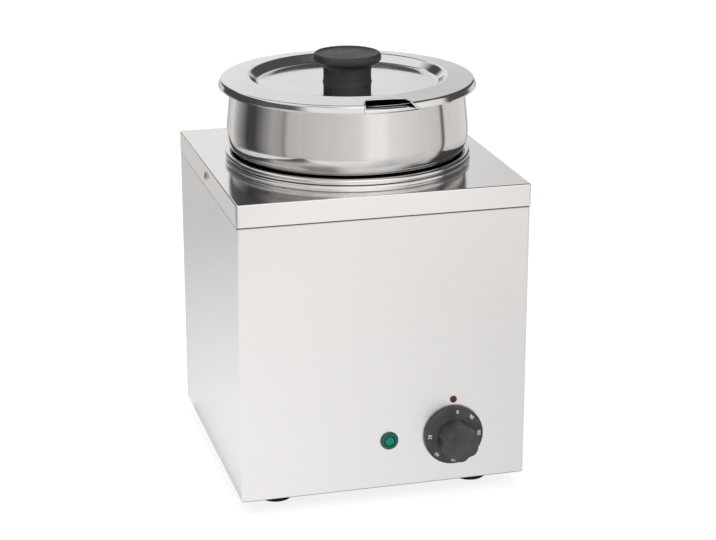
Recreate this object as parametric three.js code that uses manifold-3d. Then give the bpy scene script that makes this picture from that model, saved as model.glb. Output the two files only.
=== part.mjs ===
// A round-pot bain marie for the counter: a folded stainless housing on four rubber feet,
// a water well let into its top, a pot that hangs in the well and a lid with a ladle notch.
// Under the well are the heating element, its clamp, the thermostat and the wiring.
// Millimetres, +Z up, the front looks along -Y. The origin is on the floor under the middle
// of the whole footprint, so it lies a little in front of the housing's own middle.

import * as THREE from 'three';
import { mergeVertices } from 'three/addons/utils/BufferGeometryUtils.js';
import Module from 'manifold-3d';

const wasm = await Module();
wasm.setup();

// Driving dimensions
const bodyWidth = 250;
const bodyDepth = 250;
const bodyHeight = 260;
const sheet = 1;
const footHeight = 15;
const underWell = 98;
const wellMargin = 28;
const bellySwell = 7.2;
const lidOverhang = 5.6;
const dialRadius = 25.9;

// Clearances, cutting overrun and facet counts
const gap = 0.3;
const runningGap = 0.4;
const overrun = 2;
const bigSides = 36;
const midSides = 18;
const smallSides = 10;
const screwSides = 8;
const hexSides = 6;
const halfTubeSides = 4;

// Levels that the pieces share
const lowerEdge = footHeight - sheet;
const floorTop = footHeight + sheet;
const plateTop = lowerEdge + bodyHeight;
const plateUnder = plateTop - sheet;
const panelX = bodyWidth / 2 - sheet - gap;
const panelY = bodyDepth / 2 - sheet - gap;

// Round sizes: the pot leaves the same margin to the nearer sides, and the rest follows the pot
const potRadius = Math.min(bodyWidth, bodyDepth) / 2 - wellMargin;
const bellyRadius = potRadius + bellySwell;
const lidRadius = bellyRadius + lidOverhang;

// Finishes: each call gives a new material, so every piece has its own
const finishes = {
  brushedSteel: { color: 0xd9d6d2, roughness: 0.38, metalness: 1 },
  polishedSteel: { color: 0xd4d2cf, roughness: 0.16, metalness: 1 },
  zincSteel: { color: 0xb9bcc0, roughness: 0.45, metalness: 1 },
  aluminium: { color: 0xc9cbcd, roughness: 0.5, metalness: 1 },
  elementSheath: { color: 0x5d605c, roughness: 0.55, metalness: 0.9 },
  brass: { color: 0xb99a55, roughness: 0.4, metalness: 1 },
  copper: { color: 0xb0714e, roughness: 0.35, metalness: 1 },
  blackPlastic: { color: 0x2e2d2d, roughness: 0.45, metalness: 0 },
  blackRubber: { color: 0x1b1b1b, roughness: 0.8, metalness: 0 },
  greenPlastic: { color: 0x0c6b55, roughness: 0.25, metalness: 0 },
  greenLens: { color: 0x2a9a7c, roughness: 0.12, metalness: 0 },
  redPlastic: { color: 0x7c0f18, roughness: 0.35, metalness: 0 },
  whiteCeramic: { color: 0xe6e2d8, roughness: 0.6, metalness: 0 },
  greyPlastic: { color: 0x8d8f90, roughness: 0.5, metalness: 0 },
  brownLead: { color: 0x6a4630, roughness: 0.6, metalness: 0 },
  blueLead: { color: 0x3d5f9c, roughness: 0.6, metalness: 0 },
  greenYellowLead: { color: 0x8fae3a, roughness: 0.6, metalness: 0 },
};

function finish(name) {
  return new THREE.MeshStandardMaterial(finishes[name]);
}

// Solids and geometries: a closed geometry becomes a solid for cutting, and comes back
function toSolid(geometry) {
  const bare = geometry.clone();
  bare.deleteAttribute('normal');
  bare.deleteAttribute('uv');
  const merged = mergeVertices(bare);
  const position = merged.attributes.position;
  const triangles = [];
  let volume = 0;
  const corner = [new THREE.Vector3(), new THREE.Vector3(), new THREE.Vector3()];
  for (let i = 0; i < merged.index.count; i += 3) {
    const ids = [merged.index.getX(i), merged.index.getX(i + 1), merged.index.getX(i + 2)];
    if (ids[0] === ids[1] || ids[1] === ids[2] || ids[2] === ids[0]) continue;
    ids.forEach((id, k) => corner[k].fromBufferAttribute(position, id));
    volume += corner[0].dot(corner[1].cross(corner[2]));
    triangles.push(ids);
  }
  if (volume < 0) triangles.forEach((ids) => ids.reverse());
  return new wasm.Manifold(new wasm.Mesh({
    numProp: 3,
    vertProperties: position.array,
    triVerts: Uint32Array.from(triangles.flat()),
  }));
}

function toGeometry(solid) {
  const mesh = solid.getMesh();
  const geometry = new THREE.BufferGeometry();
  geometry.setAttribute('position', new THREE.BufferAttribute(mesh.vertProperties, 3));
  geometry.setIndex(new THREE.BufferAttribute(mesh.triVerts, 1));
  geometry.computeVertexNormals();
  return geometry;
}

function join(first, ...others) {
  return others.reduce((solid, other) => solid.add(other), first);
}

function cut(first, ...tools) {
  return tools.reduce((solid, tool) => solid.subtract(tool), first);
}

// Basic solids: z is always the lower face
function block(x0, x1, y0, y1, z0, z1) {
  const geometry = new THREE.BoxGeometry(x1 - x0, y1 - y0, z1 - z0);
  return toSolid(geometry.translate((x0 + x1) / 2, (y0 + y1) / 2, (z0 + z1) / 2));
}

function rod(radius, z0, z1, x = 0, y = 0, sides = smallSides) {
  const geometry = new THREE.CylinderGeometry(radius, radius, z1 - z0, sides);
  return toSolid(geometry.rotateX(Math.PI / 2).translate(x, y, (z0 + z1) / 2));
}

function roundedOutline(x0, x1, y0, y1, radius) {
  const shape = new THREE.Shape();
  shape.absarc(x1 - radius, y1 - radius, radius, 0, Math.PI / 2, false);
  shape.absarc(x0 + radius, y1 - radius, radius, Math.PI / 2, Math.PI, false);
  shape.absarc(x0 + radius, y0 + radius, radius, Math.PI, 1.5 * Math.PI, false);
  shape.absarc(x1 - radius, y0 + radius, radius, 1.5 * Math.PI, 2 * Math.PI, false);
  return shape;
}

function prism(shape, z0, z1, curveSegments = 1) {
  const settings = { depth: z1 - z0, bevelEnabled: false, curveSegments };
  const geometry = new THREE.ExtrudeGeometry(shape, settings);
  return toSolid(geometry.translate(0, 0, z0));
}

function roundedBlock(x0, x1, y0, y1, z0, z1, radius) {
  return prism(roundedOutline(x0, x1, y0, y1, radius), z0, z1);
}

function turned(points, sides) {
  const outline = points.map(([radius, z]) => new THREE.Vector2(radius, z));
  return toSolid(new THREE.LatheGeometry(outline, sides).rotateX(Math.PI / 2));
}

function turnedRing(points, sides) {
  return turned([...points, points[0]], sides);
}

function arc(centreR, centreZ, width, height, fromDegrees, toDegrees, steps) {
  const points = [];
  for (let i = 0; i <= steps; i += 1) {
    const angle = THREE.MathUtils.degToRad(fromDegrees + ((toDegrees - fromDegrees) * i) / steps);
    points.push([centreR + width * Math.cos(angle), centreZ + height * Math.sin(angle)]);
  }
  return points;
}

function bezier(start, pull, push, end, steps) {
  const toVector = ([x, y]) => new THREE.Vector2(x, y);
  const curve = new THREE.CubicBezierCurve(toVector(start), toVector(pull), toVector(push), toVector(end));
  return curve.getPoints(steps).map((point) => [point.x, point.y]);
}

// Sheet metal turned about Z: a line from the axis outwards gets an even wall on its right side
function turnedSheet(line, wall, sides) {
  const back = line.map((point, i) => {
    const before = line[Math.max(i - 1, 0)];
    const after = line[Math.min(i + 1, line.length - 1)];
    const run = [after[0] - before[0], after[1] - before[1]];
    const length = Math.hypot(run[0], run[1]);
    const radius = i === 0 ? 0 : point[0] + (wall * run[1]) / length;
    return [radius, point[1] - (wall * run[0]) / length];
  });
  return turned([...line, ...back.reverse()], sides);
}

function lead(points, radius, steps) {
  const section = new THREE.Shape().absarc(0, 0, radius, 0, 2 * Math.PI, false);
  const places = points.map((point) => new THREE.Vector3(...point));
  const route = new THREE.CatmullRomCurve3(places, false, 'centripetal');
  return toSolid(new THREE.ExtrudeGeometry(section, {
    steps, extrudePath: route, bevelEnabled: false, curveSegments: halfTubeSides,
  }));
}

// A pan-head screw whose head lies on z0 and whose shank runs down the inside, along -Z
function screw(headRadius, headHeight, shankRadius, shankLength, z0 = 0) {
  const rimShare = 0.55;
  const crownShare = 0.7;
  const tip = z0 - shankLength;
  const crown = z0 + headHeight;
  return turned([
    [0, tip], [shankRadius, tip], [shankRadius, z0], [headRadius, z0],
    [headRadius, z0 + headHeight * rimShare], [headRadius * crownShare, crown], [0, crown],
  ], screwSides);
}

function nut(radius, boreRadius, z0, z1, boreSides = smallSides) {
  const bore = rod(boreRadius, z0 - overrun, z1 + overrun, 0, 0, boreSides);
  return cut(rod(radius, z0, z1, 0, 0, hexSides), bore);
}

const fourCorners = [[-1, -1], [1, -1], [-1, 1], [1, 1]];

// The scene graph: the whole object, its front group and its rear group.
// In a group on a panel, Z points out of the panel and Y points up.
const bainMarie = new THREE.Group();
const body = new THREE.Group();
const front = new THREE.Group();
const rear = new THREE.Group();
bainMarie.add(body);
body.add(front, rear);
front.position.y = -panelY;
front.rotation.x = Math.PI / 2;
rear.position.y = panelY;
rear.rotation.set(Math.PI / 2, Math.PI, 0);

function addPiece(group, name, solid, finishName, place = [0, 0, 0], turn = [0, 0, 0]) {
  const mesh = new THREE.Mesh(toGeometry(solid), finish(finishName));
  mesh.name = name;
  mesh.position.set(...place);
  mesh.rotation.set(...turn);
  group.add(mesh);
}

// Where the controls sit on the front panel: across from its middle, and up from the floor
const controls = { height: 42.5, dialAcross: 60, lampAcross: 3.5, markerRise: 32 };
const controlsZ = lowerEdge + controls.height;
const markerZ = controlsZ + controls.markerRise;

// Thermostat: a steel bracket behind the panel, the switch body with its bush, two screws and the shaft
const thermostat = {
  bracketWidth: 30, bracketHeight: 42, bracketThickness: 1.5, bodyWidth: 44, bodyHeight: 40, bodyDepth: 28,
  bushRadius: 5, bushReach: 3, shaftRadius: 3, shaftReach: 18, shaftDepth: 6, flatDepth: 1,
  screwPitch: 28, screwRadius: 1.7, screwHead: 2.9, screwHeadHeight: 1.5,
  tabWidth: 6.3, tabThickness: 0.8, tabLength: 7, tabSpread: 20, tabRise: 14,
};
const bracketBack = -sheet - thermostat.bracketThickness;
const thermostatBack = bracketBack - thermostat.bodyDepth;

// Pilot lamp and index marker
const lamp = {
  bezelRadius: 7.9, bezelHeight: 2.4, barrelRadius: 5.8, barrelWall: 1.2, barrelLength: 22,
  lensReach: 3, lensDepth: 12, nutRadius: 9.5, nutHeight: 3, tabGauge: 0.8, tabLength: 6, tabSpread: 3,
};
const marker = { radius: 3.1, height: 1.1, stemRadius: 1.7, stemLength: 4 };

// Rear entry for the supply cable
const gland = {
  across: 60, height: 31, boreRadius: 4.6, shankRadius: 7.7, shankLength: 11, hexRadius: 11, hexHeight: 5,
  domeRadius: 9.6, domeHeight: 9, domeTipRadius: 7, nutRadius: 11.5, nutHeight: 3.5,
};
const glandZ = lowerEdge + gland.height;

// Fasteners and the flanges that they go through
const quarterTurn = Math.PI / 2;
const upsideDown = [Math.PI, 0, 0];
const capScrew = { head: 3.9, headHeight: 1.6, shank: 1.9, length: 7 };
const panelScrew = { head: 3.1, headHeight: 1.4, shank: 1.5, length: 6 };
const footScrew = { head: 4.2, headHeight: 2.8, shank: 2, tip: 4, seat: 8 };
const flange = { depth: 14, lower: 12 };
const rearScrewX = panelX - sheet - flange.depth / 2;
const baseScrewX = panelX - flange.lower / 2;
const rearScrewShares = { lower: 0.12, upper: 0.86 };

// Cap: the top cover, with a skirt all round and a raised collar round the well's hole
const cap = { skirt: 19, cornerRadius: 1.8 };
const bead = { offset: 6, width: 3.3, height: 2.8 };
const beadRadius = potRadius + bead.offset;
const basinWall = 0.8;
const basinInner = beadRadius - bead.width;
const basinOuter = basinInner + basinWall;
const collar = { rise: 2.4, reach: 2.8 };
const collarOuter = beadRadius + collar.reach;
const collarInner = basinOuter + runningGap;
const capScrewZ = plateTop - cap.skirt / 2;

function makeTopCover() {
  const bottom = plateTop - cap.skirt;
  const halfX = bodyWidth / 2;
  const halfY = bodyDepth / 2;
  const shell = roundedBlock(-halfX, halfX, -halfY, halfY, bottom, plateTop, cap.cornerRadius);
  const inside = roundedBlock(sheet - halfX, halfX - sheet, sheet - halfY, halfY - sheet,
    bottom - overrun, plateUnder, cap.cornerRadius - sheet);
  const hole = rod(collarOuter - sheet, plateUnder - overrun, plateTop + overrun, 0, 0, bigSides);
  const ringTop = plateTop + collar.rise;
  const bend = sheet / 2;
  const ring = turnedRing([
    [collarOuter, plateUnder], [collarOuter, ringTop - bend],
    [collarOuter - bend, ringTop], [collarInner, ringTop],
    [collarInner, ringTop - sheet], [collarOuter - sheet, ringTop - sheet],
    [collarOuter - sheet, plateUnder],
  ], bigSides);
  return cut(join(cut(shell, inside, hole), ring), ...capScrewHoles());
}

function capScrewHoles() {
  const across = bodyWidth / 2 + overrun;
  const back = bodyDepth / 2 + overrun;
  const radius = capScrew.shank + gap;
  const alongX = rod(radius, -across, across).rotate([0, 90, 0]).translate([0, 0, capScrewZ]);
  const alongY = rod(radius, 0, back).rotate([-90, 0, 0]).translate([0, 0, capScrewZ]);
  return [alongX, alongY];
}

addPiece(body, 'top_cover', makeTopCover(), 'brushedSteel');

const capScrewPlaces = {
  left: { place: [-bodyWidth / 2, 0, capScrewZ], turn: [0, -quarterTurn, 0] },
  right: { place: [bodyWidth / 2, 0, capScrewZ], turn: [0, quarterTurn, 0] },
  rear: { place: [0, bodyDepth / 2, capScrewZ], turn: [-quarterTurn, 0, 0] },
};
for (const [side, { place, turn }] of Object.entries(capScrewPlaces)) {
  const solid = screw(capScrew.head, capScrew.headHeight, capScrew.shank, capScrew.length);
  addPiece(body, `cap_screw_${side}`, solid, 'zincSteel', place, turn);
}

// Housing wrap: front and sides folded from one sheet, with return flanges below and behind
function makeWrap() {
  const back = panelY - sheet;
  const bendRadius = 1.8;
  const outside = roundedBlock(-panelX, panelX, -panelY, back, lowerEdge, plateUnder, bendRadius);
  const inside = roundedBlock(sheet - panelX, panelX - sheet, sheet - panelY, back - sheet,
    footHeight, plateUnder + overrun, bendRadius - sheet);
  const sideFlange = panelX - sheet - flange.depth;
  const rearOpening = block(-sideFlange, sideFlange, back - sheet - overrun, back + overrun,
    footHeight, plateUnder + overrun);
  const lowerX = panelX - flange.lower;
  const lowerOpening = block(-lowerX, lowerX, flange.lower - panelY, back + overrun,
    lowerEdge - overrun, footHeight + gap);
  return cut(outside, inside, rearOpening, lowerOpening,
    ...frontHoles(), ...capScrewHoles(), ...rearScrewHoles(), ...baseScrewHoles());
}

function frontHoles() {
  const bore = (radius, across, height) =>
    rod(radius, -overrun, sheet + overrun).rotate([-90, 0, 0]).translate([across, -panelY, height]);
  const screwHole = thermostat.screwRadius + gap;
  const halfPitch = thermostat.screwPitch / 2;
  return [
    bore(thermostat.bushRadius + gap, controls.dialAcross, controlsZ),
    bore(screwHole, controls.dialAcross, controlsZ + halfPitch),
    bore(screwHole, controls.dialAcross, controlsZ - halfPitch),
    bore(lamp.barrelRadius + gap, controls.lampAcross, controlsZ),
    bore(marker.stemRadius + gap, controls.dialAcross, markerZ),
  ];
}

function rearScrewHoles() {
  const start = panelY - 2 * sheet - overrun;
  const one = rod(panelScrew.shank + gap, start, panelY + overrun).rotate([-90, 0, 0]);
  return rearScrewPlaces().map(([x, z]) => one.translate([x, 0, z]));
}

function rearScrewPlaces() {
  const low = lowerEdge + bodyHeight * rearScrewShares.lower;
  const high = lowerEdge + bodyHeight * rearScrewShares.upper;
  return fourCorners.map(([sx, sz]) => [sx * rearScrewX, sz < 0 ? low : high]);
}

function baseScrewHoles() {
  const one = rod(panelScrew.shank + gap, lowerEdge - overrun, floorTop + overrun);
  return [one.translate([-baseScrewX, 0, 0]), one.translate([baseScrewX, 0, 0])];
}

addPiece(body, 'housing_wrap', makeWrap(), 'brushedSteel');

// Rear panel with louvre slots, the gland's hole and its screws
const louvre = { length: 70, height: 4, pitch: 12, count: 5, lowestShare: 0.62 };

function makeRearPanel() {
  const panel = block(-panelX, panelX, panelY - sheet, panelY, lowerEdge, plateUnder);
  const slots = [];
  for (let i = 0; i < louvre.count; i += 1) {
    const z = lowerEdge + bodyHeight * louvre.lowestShare + i * louvre.pitch;
    slots.push(block(-louvre.length / 2, louvre.length / 2, panelY - sheet - overrun, panelY + overrun,
      z, z + louvre.height));
  }
  const entry = rod(gland.shankRadius + gap, panelY - sheet - overrun, panelY + overrun, 0, 0, midSides)
    .rotate([-90, 0, 0]).translate([gland.across, 0, glandZ]);
  return cut(panel, entry, ...slots, ...rearScrewHoles(), ...capScrewHoles());
}

addPiece(body, 'rear_panel', makeRearPanel(), 'brushedSteel');

function makePanelScrew() {
  return screw(panelScrew.head, panelScrew.headHeight, panelScrew.shank, panelScrew.length);
}

const rearScrewNames = ['lower_left', 'lower_right', 'upper_left', 'upper_right'];
rearScrewPlaces().forEach(([x, z], i) => {
  addPiece(rear, `rear_screw_${rearScrewNames[i]}`, makePanelScrew(), 'zincSteel', [-x, z, 0]);
});

// Base plate: lies on the wrap's lower flanges, with vent slots and holes for feet and earth stud
const vent = { length: 40, width: 4, pitch: 12, count: 6, across: -55, rows: [-25, 45] };
const footInset = 36.2;
const footX = panelX - footInset;
const footY = panelY - footInset;
const earth = {
  inset: 28.7, along: 38, head: 3.6, headHeight: 1.4, shank: 2, length: 14, nutRadius: 4, nutHeight: 3.2,
};
const earthX = panelX - earth.inset;

function footPlaces() {
  return fourCorners.map(([sx, sy]) => [sx * footX, sy * footY]);
}

function makeBasePlate() {
  const halfX = panelX - sheet - gap;
  const plate = block(-halfX, halfX, sheet + gap - panelY, panelY - 2 * sheet - gap, footHeight, floorTop);
  const slots = [];
  for (const along of vent.rows) {
    const start = along - vent.length / 2;
    for (let i = 0; i < vent.count; i += 1) {
      const left = vent.across + (i - (vent.count - 1) / 2) * vent.pitch - vent.width / 2;
      slots.push(block(left, left + vent.width, start, start + vent.length,
        footHeight - overrun, floorTop + overrun));
    }
  }
  const bore = (radius, x, y) => rod(radius + gap, footHeight - overrun, floorTop + overrun, x, y);
  const footHoles = footPlaces().map(([x, y]) => bore(footScrew.shank, x, y));
  const earthHole = bore(earth.shank, earthX, earth.along);
  return cut(plate, earthHole, ...slots, ...footHoles, ...baseScrewHoles());
}

addPiece(body, 'base_plate', makeBasePlate(), 'zincSteel');

addPiece(body, 'base_screw_left', makePanelScrew(), 'zincSteel', [-baseScrewX, 0, lowerEdge], upsideDown);
addPiece(body, 'base_screw_right', makePanelScrew(), 'zincSteel', [baseScrewX, 0, lowerEdge], upsideDown);

// Feet: moulded rubber, each with a sunk screw that taps into the base plate
const foot = { topRadius: 14, soleRadius: 12.4, edge: 1.2, sinkRadius: 5.4 };

function makeFoot() {
  const bore = footScrew.shank + gap;
  return turnedRing([
    [foot.sinkRadius, 0], [foot.soleRadius - foot.edge, 0], [foot.soleRadius, foot.edge],
    [foot.topRadius, footHeight - foot.edge], [foot.topRadius - foot.edge, footHeight], [bore, footHeight],
    [bore, footScrew.seat], [foot.sinkRadius, footScrew.seat],
  ], midSides);
}

function makeFootScrew() {
  const length = floorTop + footScrew.tip - footScrew.seat;
  return screw(footScrew.head, footScrew.headHeight, footScrew.shank, length);
}

const footNames = ['front_left', 'front_right', 'rear_left', 'rear_right'];
footPlaces().forEach(([x, y], i) => {
  addPiece(body, `foot_${footNames[i]}`, makeFoot(), 'blackRubber', [x, y, 0]);
  const seat = [x, y, footScrew.seat];
  addPiece(body, `foot_screw_${footNames[i]}`, makeFootScrew(), 'zincSteel', seat, upsideDown);
});

// Water basin: deep drawn, its rolled rim lies on the cap's collar
const basinCorner = 14;
const basinFloor = lowerEdge + underWell;
const basinUnder = basinFloor - basinWall;
const beadZ = plateTop + collar.rise + gap + bead.height;

function makeBasin() {
  const line = [
    [0, basinFloor],
    ...arc(basinInner - basinCorner, basinFloor + basinCorner, basinCorner, basinCorner, -90, 0, 3),
    [basinInner, beadZ],
  ];
  const shell = turnedSheet(line, basinWall, bigSides);
  const roll = turnedRing(arc(beadRadius, beadZ, bead.width, bead.height, 180, -135, 7), bigSides);
  return join(shell, roll);
}

addPiece(body, 'water_basin', makeBasin(), 'polishedSteel');

// Retaining ring: an angle ring on the basin's wall that holds it up against the cap
const retainer = { drop: 9, flangeWidth: 11.2, thickness: 1.2 };

function makeRetainer() {
  const inner = basinOuter + gap;
  const outer = inner + retainer.thickness;
  const flangeEdge = inner + retainer.flangeWidth;
  const low = plateUnder - retainer.drop;
  const flangeUnder = plateUnder - retainer.thickness;
  return turnedRing([
    [inner, low], [outer, low], [outer, flangeUnder],
    [flangeEdge, flangeUnder], [flangeEdge, plateUnder], [inner, plateUnder],
  ], bigSides);
}

addPiece(body, 'basin_retaining_ring', makeRetainer(), 'zincSteel');

// Heating: spreader, tubular element, clamp cross, stud and nut
const spreader = { inset: 17, thickness: 3 };
const element = { inset: 20, tubeRadius: 4, tail: 14, openHalfDegrees: 20, steps: 42 };
const clamp = { overlap: 8, width: 16, thickness: 2 };
const stud = { radius: 3, below: 11, nutRadius: 5.6, nutHeight: 5 };
const spreaderRadius = potRadius - spreader.inset;
const ringRadius = spreaderRadius - element.inset;
const clampArm = ringRadius + clamp.overlap;
const spreaderUnder = basinUnder - spreader.thickness;
const elementZ = spreaderUnder - gap - element.tubeRadius;
const clampTop = elementZ - element.tubeRadius - gap;
const clampUnder = clampTop - clamp.thickness;

// Over-temperature cut-out, whose own stud screws up into the spreader
const limiter = {
  clear: 2, radius: 8.2, height: 9.5, studRadius: 2, studLength: 2.4,
  tabGauge: 0.8, tabWidth: 4.8, tabLength: 8, tabSpread: 3,
};
const limiterPlace = clamp.width / 2 + limiter.clear + limiter.radius;

function makeSpreader() {
  const disc = rod(spreaderRadius, spreaderUnder, basinUnder, 0, 0, bigSides);
  const studHole = rod(stud.radius + gap, spreaderUnder - overrun, basinUnder + overrun);
  const limiterHole = rod(limiter.studRadius + gap, spreaderUnder - overrun, basinUnder + overrun,
    limiterPlace, limiterPlace);
  return cut(disc, studHole, limiterHole);
}

addPiece(body, 'heat_spreader', makeSpreader(), 'aluminium');

const tailAngle = THREE.MathUtils.degToRad(element.openHalfDegrees);
const tailX = ringRadius * Math.cos(tailAngle);
const tailY = ringRadius * Math.sin(tailAngle);
const tailEndZ = elementZ - element.tail;

class ElementRoute extends THREE.Curve {
  getPoint(t, target = new THREE.Vector3()) {
    const bend = element.tubeRadius * 2;
    const straight = element.tail - bend;
    const quarter = (bend * Math.PI) / 2;
    const sweep = 2 * Math.PI - 2 * tailAngle - (2 * bend) / ringRadius;
    const ring = ringRadius * sweep;
    const total = 2 * straight + 2 * quarter + ring;
    const mirrored = t > 0.5;
    const along = (mirrored ? 1 - t : t) * total;
    let angle = tailAngle;
    let z = tailEndZ + along;
    if (along > straight) {
      const turn = Math.min((along - straight) / bend, Math.PI / 2);
      angle = tailAngle + (bend * (1 - Math.cos(turn))) / ringRadius;
      z = tailEndZ + straight + bend * Math.sin(turn);
    }
    if (along > straight + quarter) {
      angle += (along - straight - quarter) / ringRadius;
    }
    const side = mirrored ? -1 : 1;
    return target.set(ringRadius * Math.cos(angle), side * ringRadius * Math.sin(angle), z);
  }
}

function makeElement() {
  const section = new THREE.Shape().absarc(0, 0, element.tubeRadius, 0, 2 * Math.PI, false);
  return toSolid(new THREE.ExtrudeGeometry(section, {
    steps: element.steps, extrudePath: new ElementRoute(), bevelEnabled: false, curveSegments: halfTubeSides,
  }));
}

addPiece(body, 'heating_element', makeElement(), 'elementSheath');

// Ceramic bush and steel pin on each end of the element
const terminal = { bushRadius: 4.4, bushHeight: 5, pinRadius: 1.6, pinLength: 8 };
const pinEndZ = tailEndZ - gap - terminal.bushHeight - terminal.pinLength;

function makeElementTerminal() {
  const bushTop = tailEndZ - gap;
  const bushUnder = bushTop - terminal.bushHeight;
  return turned([
    [0, pinEndZ], [terminal.pinRadius, pinEndZ], [terminal.pinRadius, bushUnder],
    [terminal.bushRadius, bushUnder], [terminal.bushRadius, bushTop], [0, bushTop],
  ], smallSides);
}

addPiece(body, 'element_terminal_live', makeElementTerminal(), 'whiteCeramic', [tailX, tailY, 0]);
addPiece(body, 'element_terminal_neutral', makeElementTerminal(), 'whiteCeramic', [tailX, -tailY, 0]);

function makeClamp() {
  const half = clamp.width / 2;
  const armX = block(-clampArm, clampArm, -half, half, clampUnder, clampTop);
  const armY = block(-half, half, -clampArm, clampArm, clampUnder, clampTop);
  return cut(join(armX, armY), rod(stud.radius + gap, clampUnder - overrun, clampTop + overrun));
}

addPiece(body, 'element_clamp', makeClamp(), 'zincSteel');
addPiece(body, 'clamp_stud', rod(stud.radius, clampUnder - stud.below, basinUnder), 'zincSteel');

const clampNut = nut(stud.nutRadius, stud.radius + gap, clampUnder - stud.nutHeight, clampUnder);
addPiece(body, 'clamp_nut', clampNut, 'zincSteel');

function makeLimiter() {
  const bottom = spreaderUnder - limiter.height;
  const tabEnd = bottom - limiter.tabLength;
  const halfWidth = limiter.tabWidth / 2;
  const tabs = [-1, 1].map((side) => {
    const left = side * limiter.tabSpread - limiter.tabGauge / 2;
    return block(left, left + limiter.tabGauge, -halfWidth, halfWidth, tabEnd, bottom + gap);
  });
  const can = rod(limiter.radius, bottom, spreaderUnder, 0, 0, midSides);
  const ownStud = rod(limiter.studRadius, spreaderUnder - gap, spreaderUnder + limiter.studLength);
  return join(can, ownStud, ...tabs);
}

const limiterEnd = spreaderUnder - limiter.height - limiter.tabLength;

addPiece(body, 'over_heat_limiter', makeLimiter(), 'greyPlastic', [limiterPlace, limiterPlace, 0]);

// Thermostat behind the panel, drawn in the front group round the dial's axis
const dialPlace = [controls.dialAcross, controlsZ, 0];
const halfPitch = thermostat.screwPitch / 2;

function makeBracket() {
  const halfX = thermostat.bracketWidth / 2;
  const halfY = thermostat.bracketHeight / 2;
  const plate = block(-halfX, halfX, -halfY, halfY, bracketBack, -sheet);
  const holes = [halfPitch, -halfPitch].map((y) =>
    rod(thermostat.screwRadius + gap, bracketBack - overrun, overrun, 0, y));
  return cut(plate, rod(thermostat.bushRadius + gap, bracketBack - overrun, overrun), ...holes);
}

addPiece(front, 'thermostat_bracket', makeBracket(), 'zincSteel', dialPlace);

function thermostatTabs() {
  const places = [[-1, -1], [1, -1], [-1, 1]];
  const halfX = thermostat.tabWidth / 2;
  const halfY = thermostat.tabThickness / 2;
  const end = thermostatBack - thermostat.tabLength;
  return places.map(([sx, sy]) => {
    const x = (sx * thermostat.tabSpread) / 2;
    const y = (sy * thermostat.tabRise) / 2;
    return block(x - halfX, x + halfX, y - halfY, y + halfY, end, thermostatBack + gap);
  });
}

function makeThermostatBody() {
  const halfX = thermostat.bodyWidth / 2;
  const halfY = thermostat.bodyHeight / 2;
  const corner = 2;
  const caseBlock = roundedBlock(-halfX, halfX, -halfY, halfY, thermostatBack, bracketBack, corner);
  const bush = rod(thermostat.bushRadius, bracketBack - gap, thermostat.bushReach, 0, 0, midSides);
  const bore = rod(thermostat.shaftRadius + runningGap, bracketBack - thermostat.shaftDepth - gap,
    thermostat.bushReach + overrun);
  const screwBores = [halfPitch, -halfPitch].map((y) =>
    rod(thermostat.screwRadius + gap, bracketBack - thermostat.shaftDepth, bracketBack + overrun, 0, y));
  return join(cut(join(caseBlock, bush), bore, ...screwBores), ...thermostatTabs());
}

addPiece(front, 'thermostat_body', makeThermostatBody(), 'greyPlastic', dialPlace);

function makeThermostatScrew() {
  const length = sheet + thermostat.bracketThickness + thermostat.shaftDepth / 2;
  return screw(thermostat.screwHead, thermostat.screwHeadHeight, thermostat.screwRadius, length);
}

addPiece(front, 'thermostat_screw_upper', makeThermostatScrew(), 'zincSteel',
  [controls.dialAcross, controlsZ + halfPitch, 0]);
addPiece(front, 'thermostat_screw_lower', makeThermostatScrew(), 'zincSteel',
  [controls.dialAcross, controlsZ - halfPitch, 0]);

// A shaft with a flat on it; the knob's bore is the same shape with its clearance
function flattedRod(radius, z0, z1, clearance) {
  const flatY = thermostat.shaftRadius - thermostat.flatDepth + clearance;
  const flat = block(-radius * 2, radius * 2, flatY, flatY + radius * 2, z0 - overrun, z1 + overrun);
  return cut(rod(radius, z0, z1), flat);
}

function makeShaft() {
  return join(
    rod(thermostat.shaftRadius, bracketBack - thermostat.shaftDepth, thermostat.bushReach + gap),
    flattedRod(thermostat.shaftRadius, thermostat.bushReach, thermostat.shaftReach, 0),
  );
}

addPiece(front, 'thermostat_shaft', makeShaft(), 'brass', dialPlace);

// Control knob: a numbered skirt with a lobed grip, moulded in one piece
const dial = {
  standOff: 0.8, rimInner: 23.4, hollow: 3.8, rimHeight: 5, edge: 0.8, faceHeight: 7.2, gripRadius: 16.2,
  gripHeight: 27, lobes: 6, scallop: 1.7,
};
const stepsPerLobe = 6;

// Six round lobes with a narrower hollow between each two
function gripOutline() {
  const shape = new THREE.Shape();
  const steps = dial.lobes * stepsPerLobe;
  for (let i = 0; i < steps; i += 1) {
    const angle = (2 * Math.PI * i) / steps;
    const hollow = Math.sin((dial.lobes * angle) / 2) ** 4;
    const reach = dial.gripRadius - dial.scallop * hollow;
    const place = [reach * Math.sin(angle), reach * Math.cos(angle)];
    if (i === 0) shape.moveTo(...place);
    else shape.lineTo(...place);
  }
  return shape;
}

function makeDial() {
  const skirt = turned([
    [0, dial.hollow], [dial.rimInner, dial.hollow], [dial.rimInner, dial.standOff],
    [dialRadius - dial.edge, dial.standOff], [dialRadius, dial.standOff + dial.edge],
    [dialRadius, dial.rimHeight - dial.edge], [dialRadius - dial.edge, dial.rimHeight],
    [dial.gripRadius, dial.faceHeight], [0, dial.faceHeight],
  ], bigSides);
  const grip = prism(gripOutline(), dial.faceHeight - gap, dial.gripHeight);
  const boreEnd = thermostat.shaftReach + gap;
  const bore = flattedRod(thermostat.shaftRadius + gap, dial.hollow - overrun, boreEnd, gap);
  return cut(join(skirt, grip), bore);
}

addPiece(front, 'control_knob', makeDial(), 'blackPlastic', dialPlace);

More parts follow.
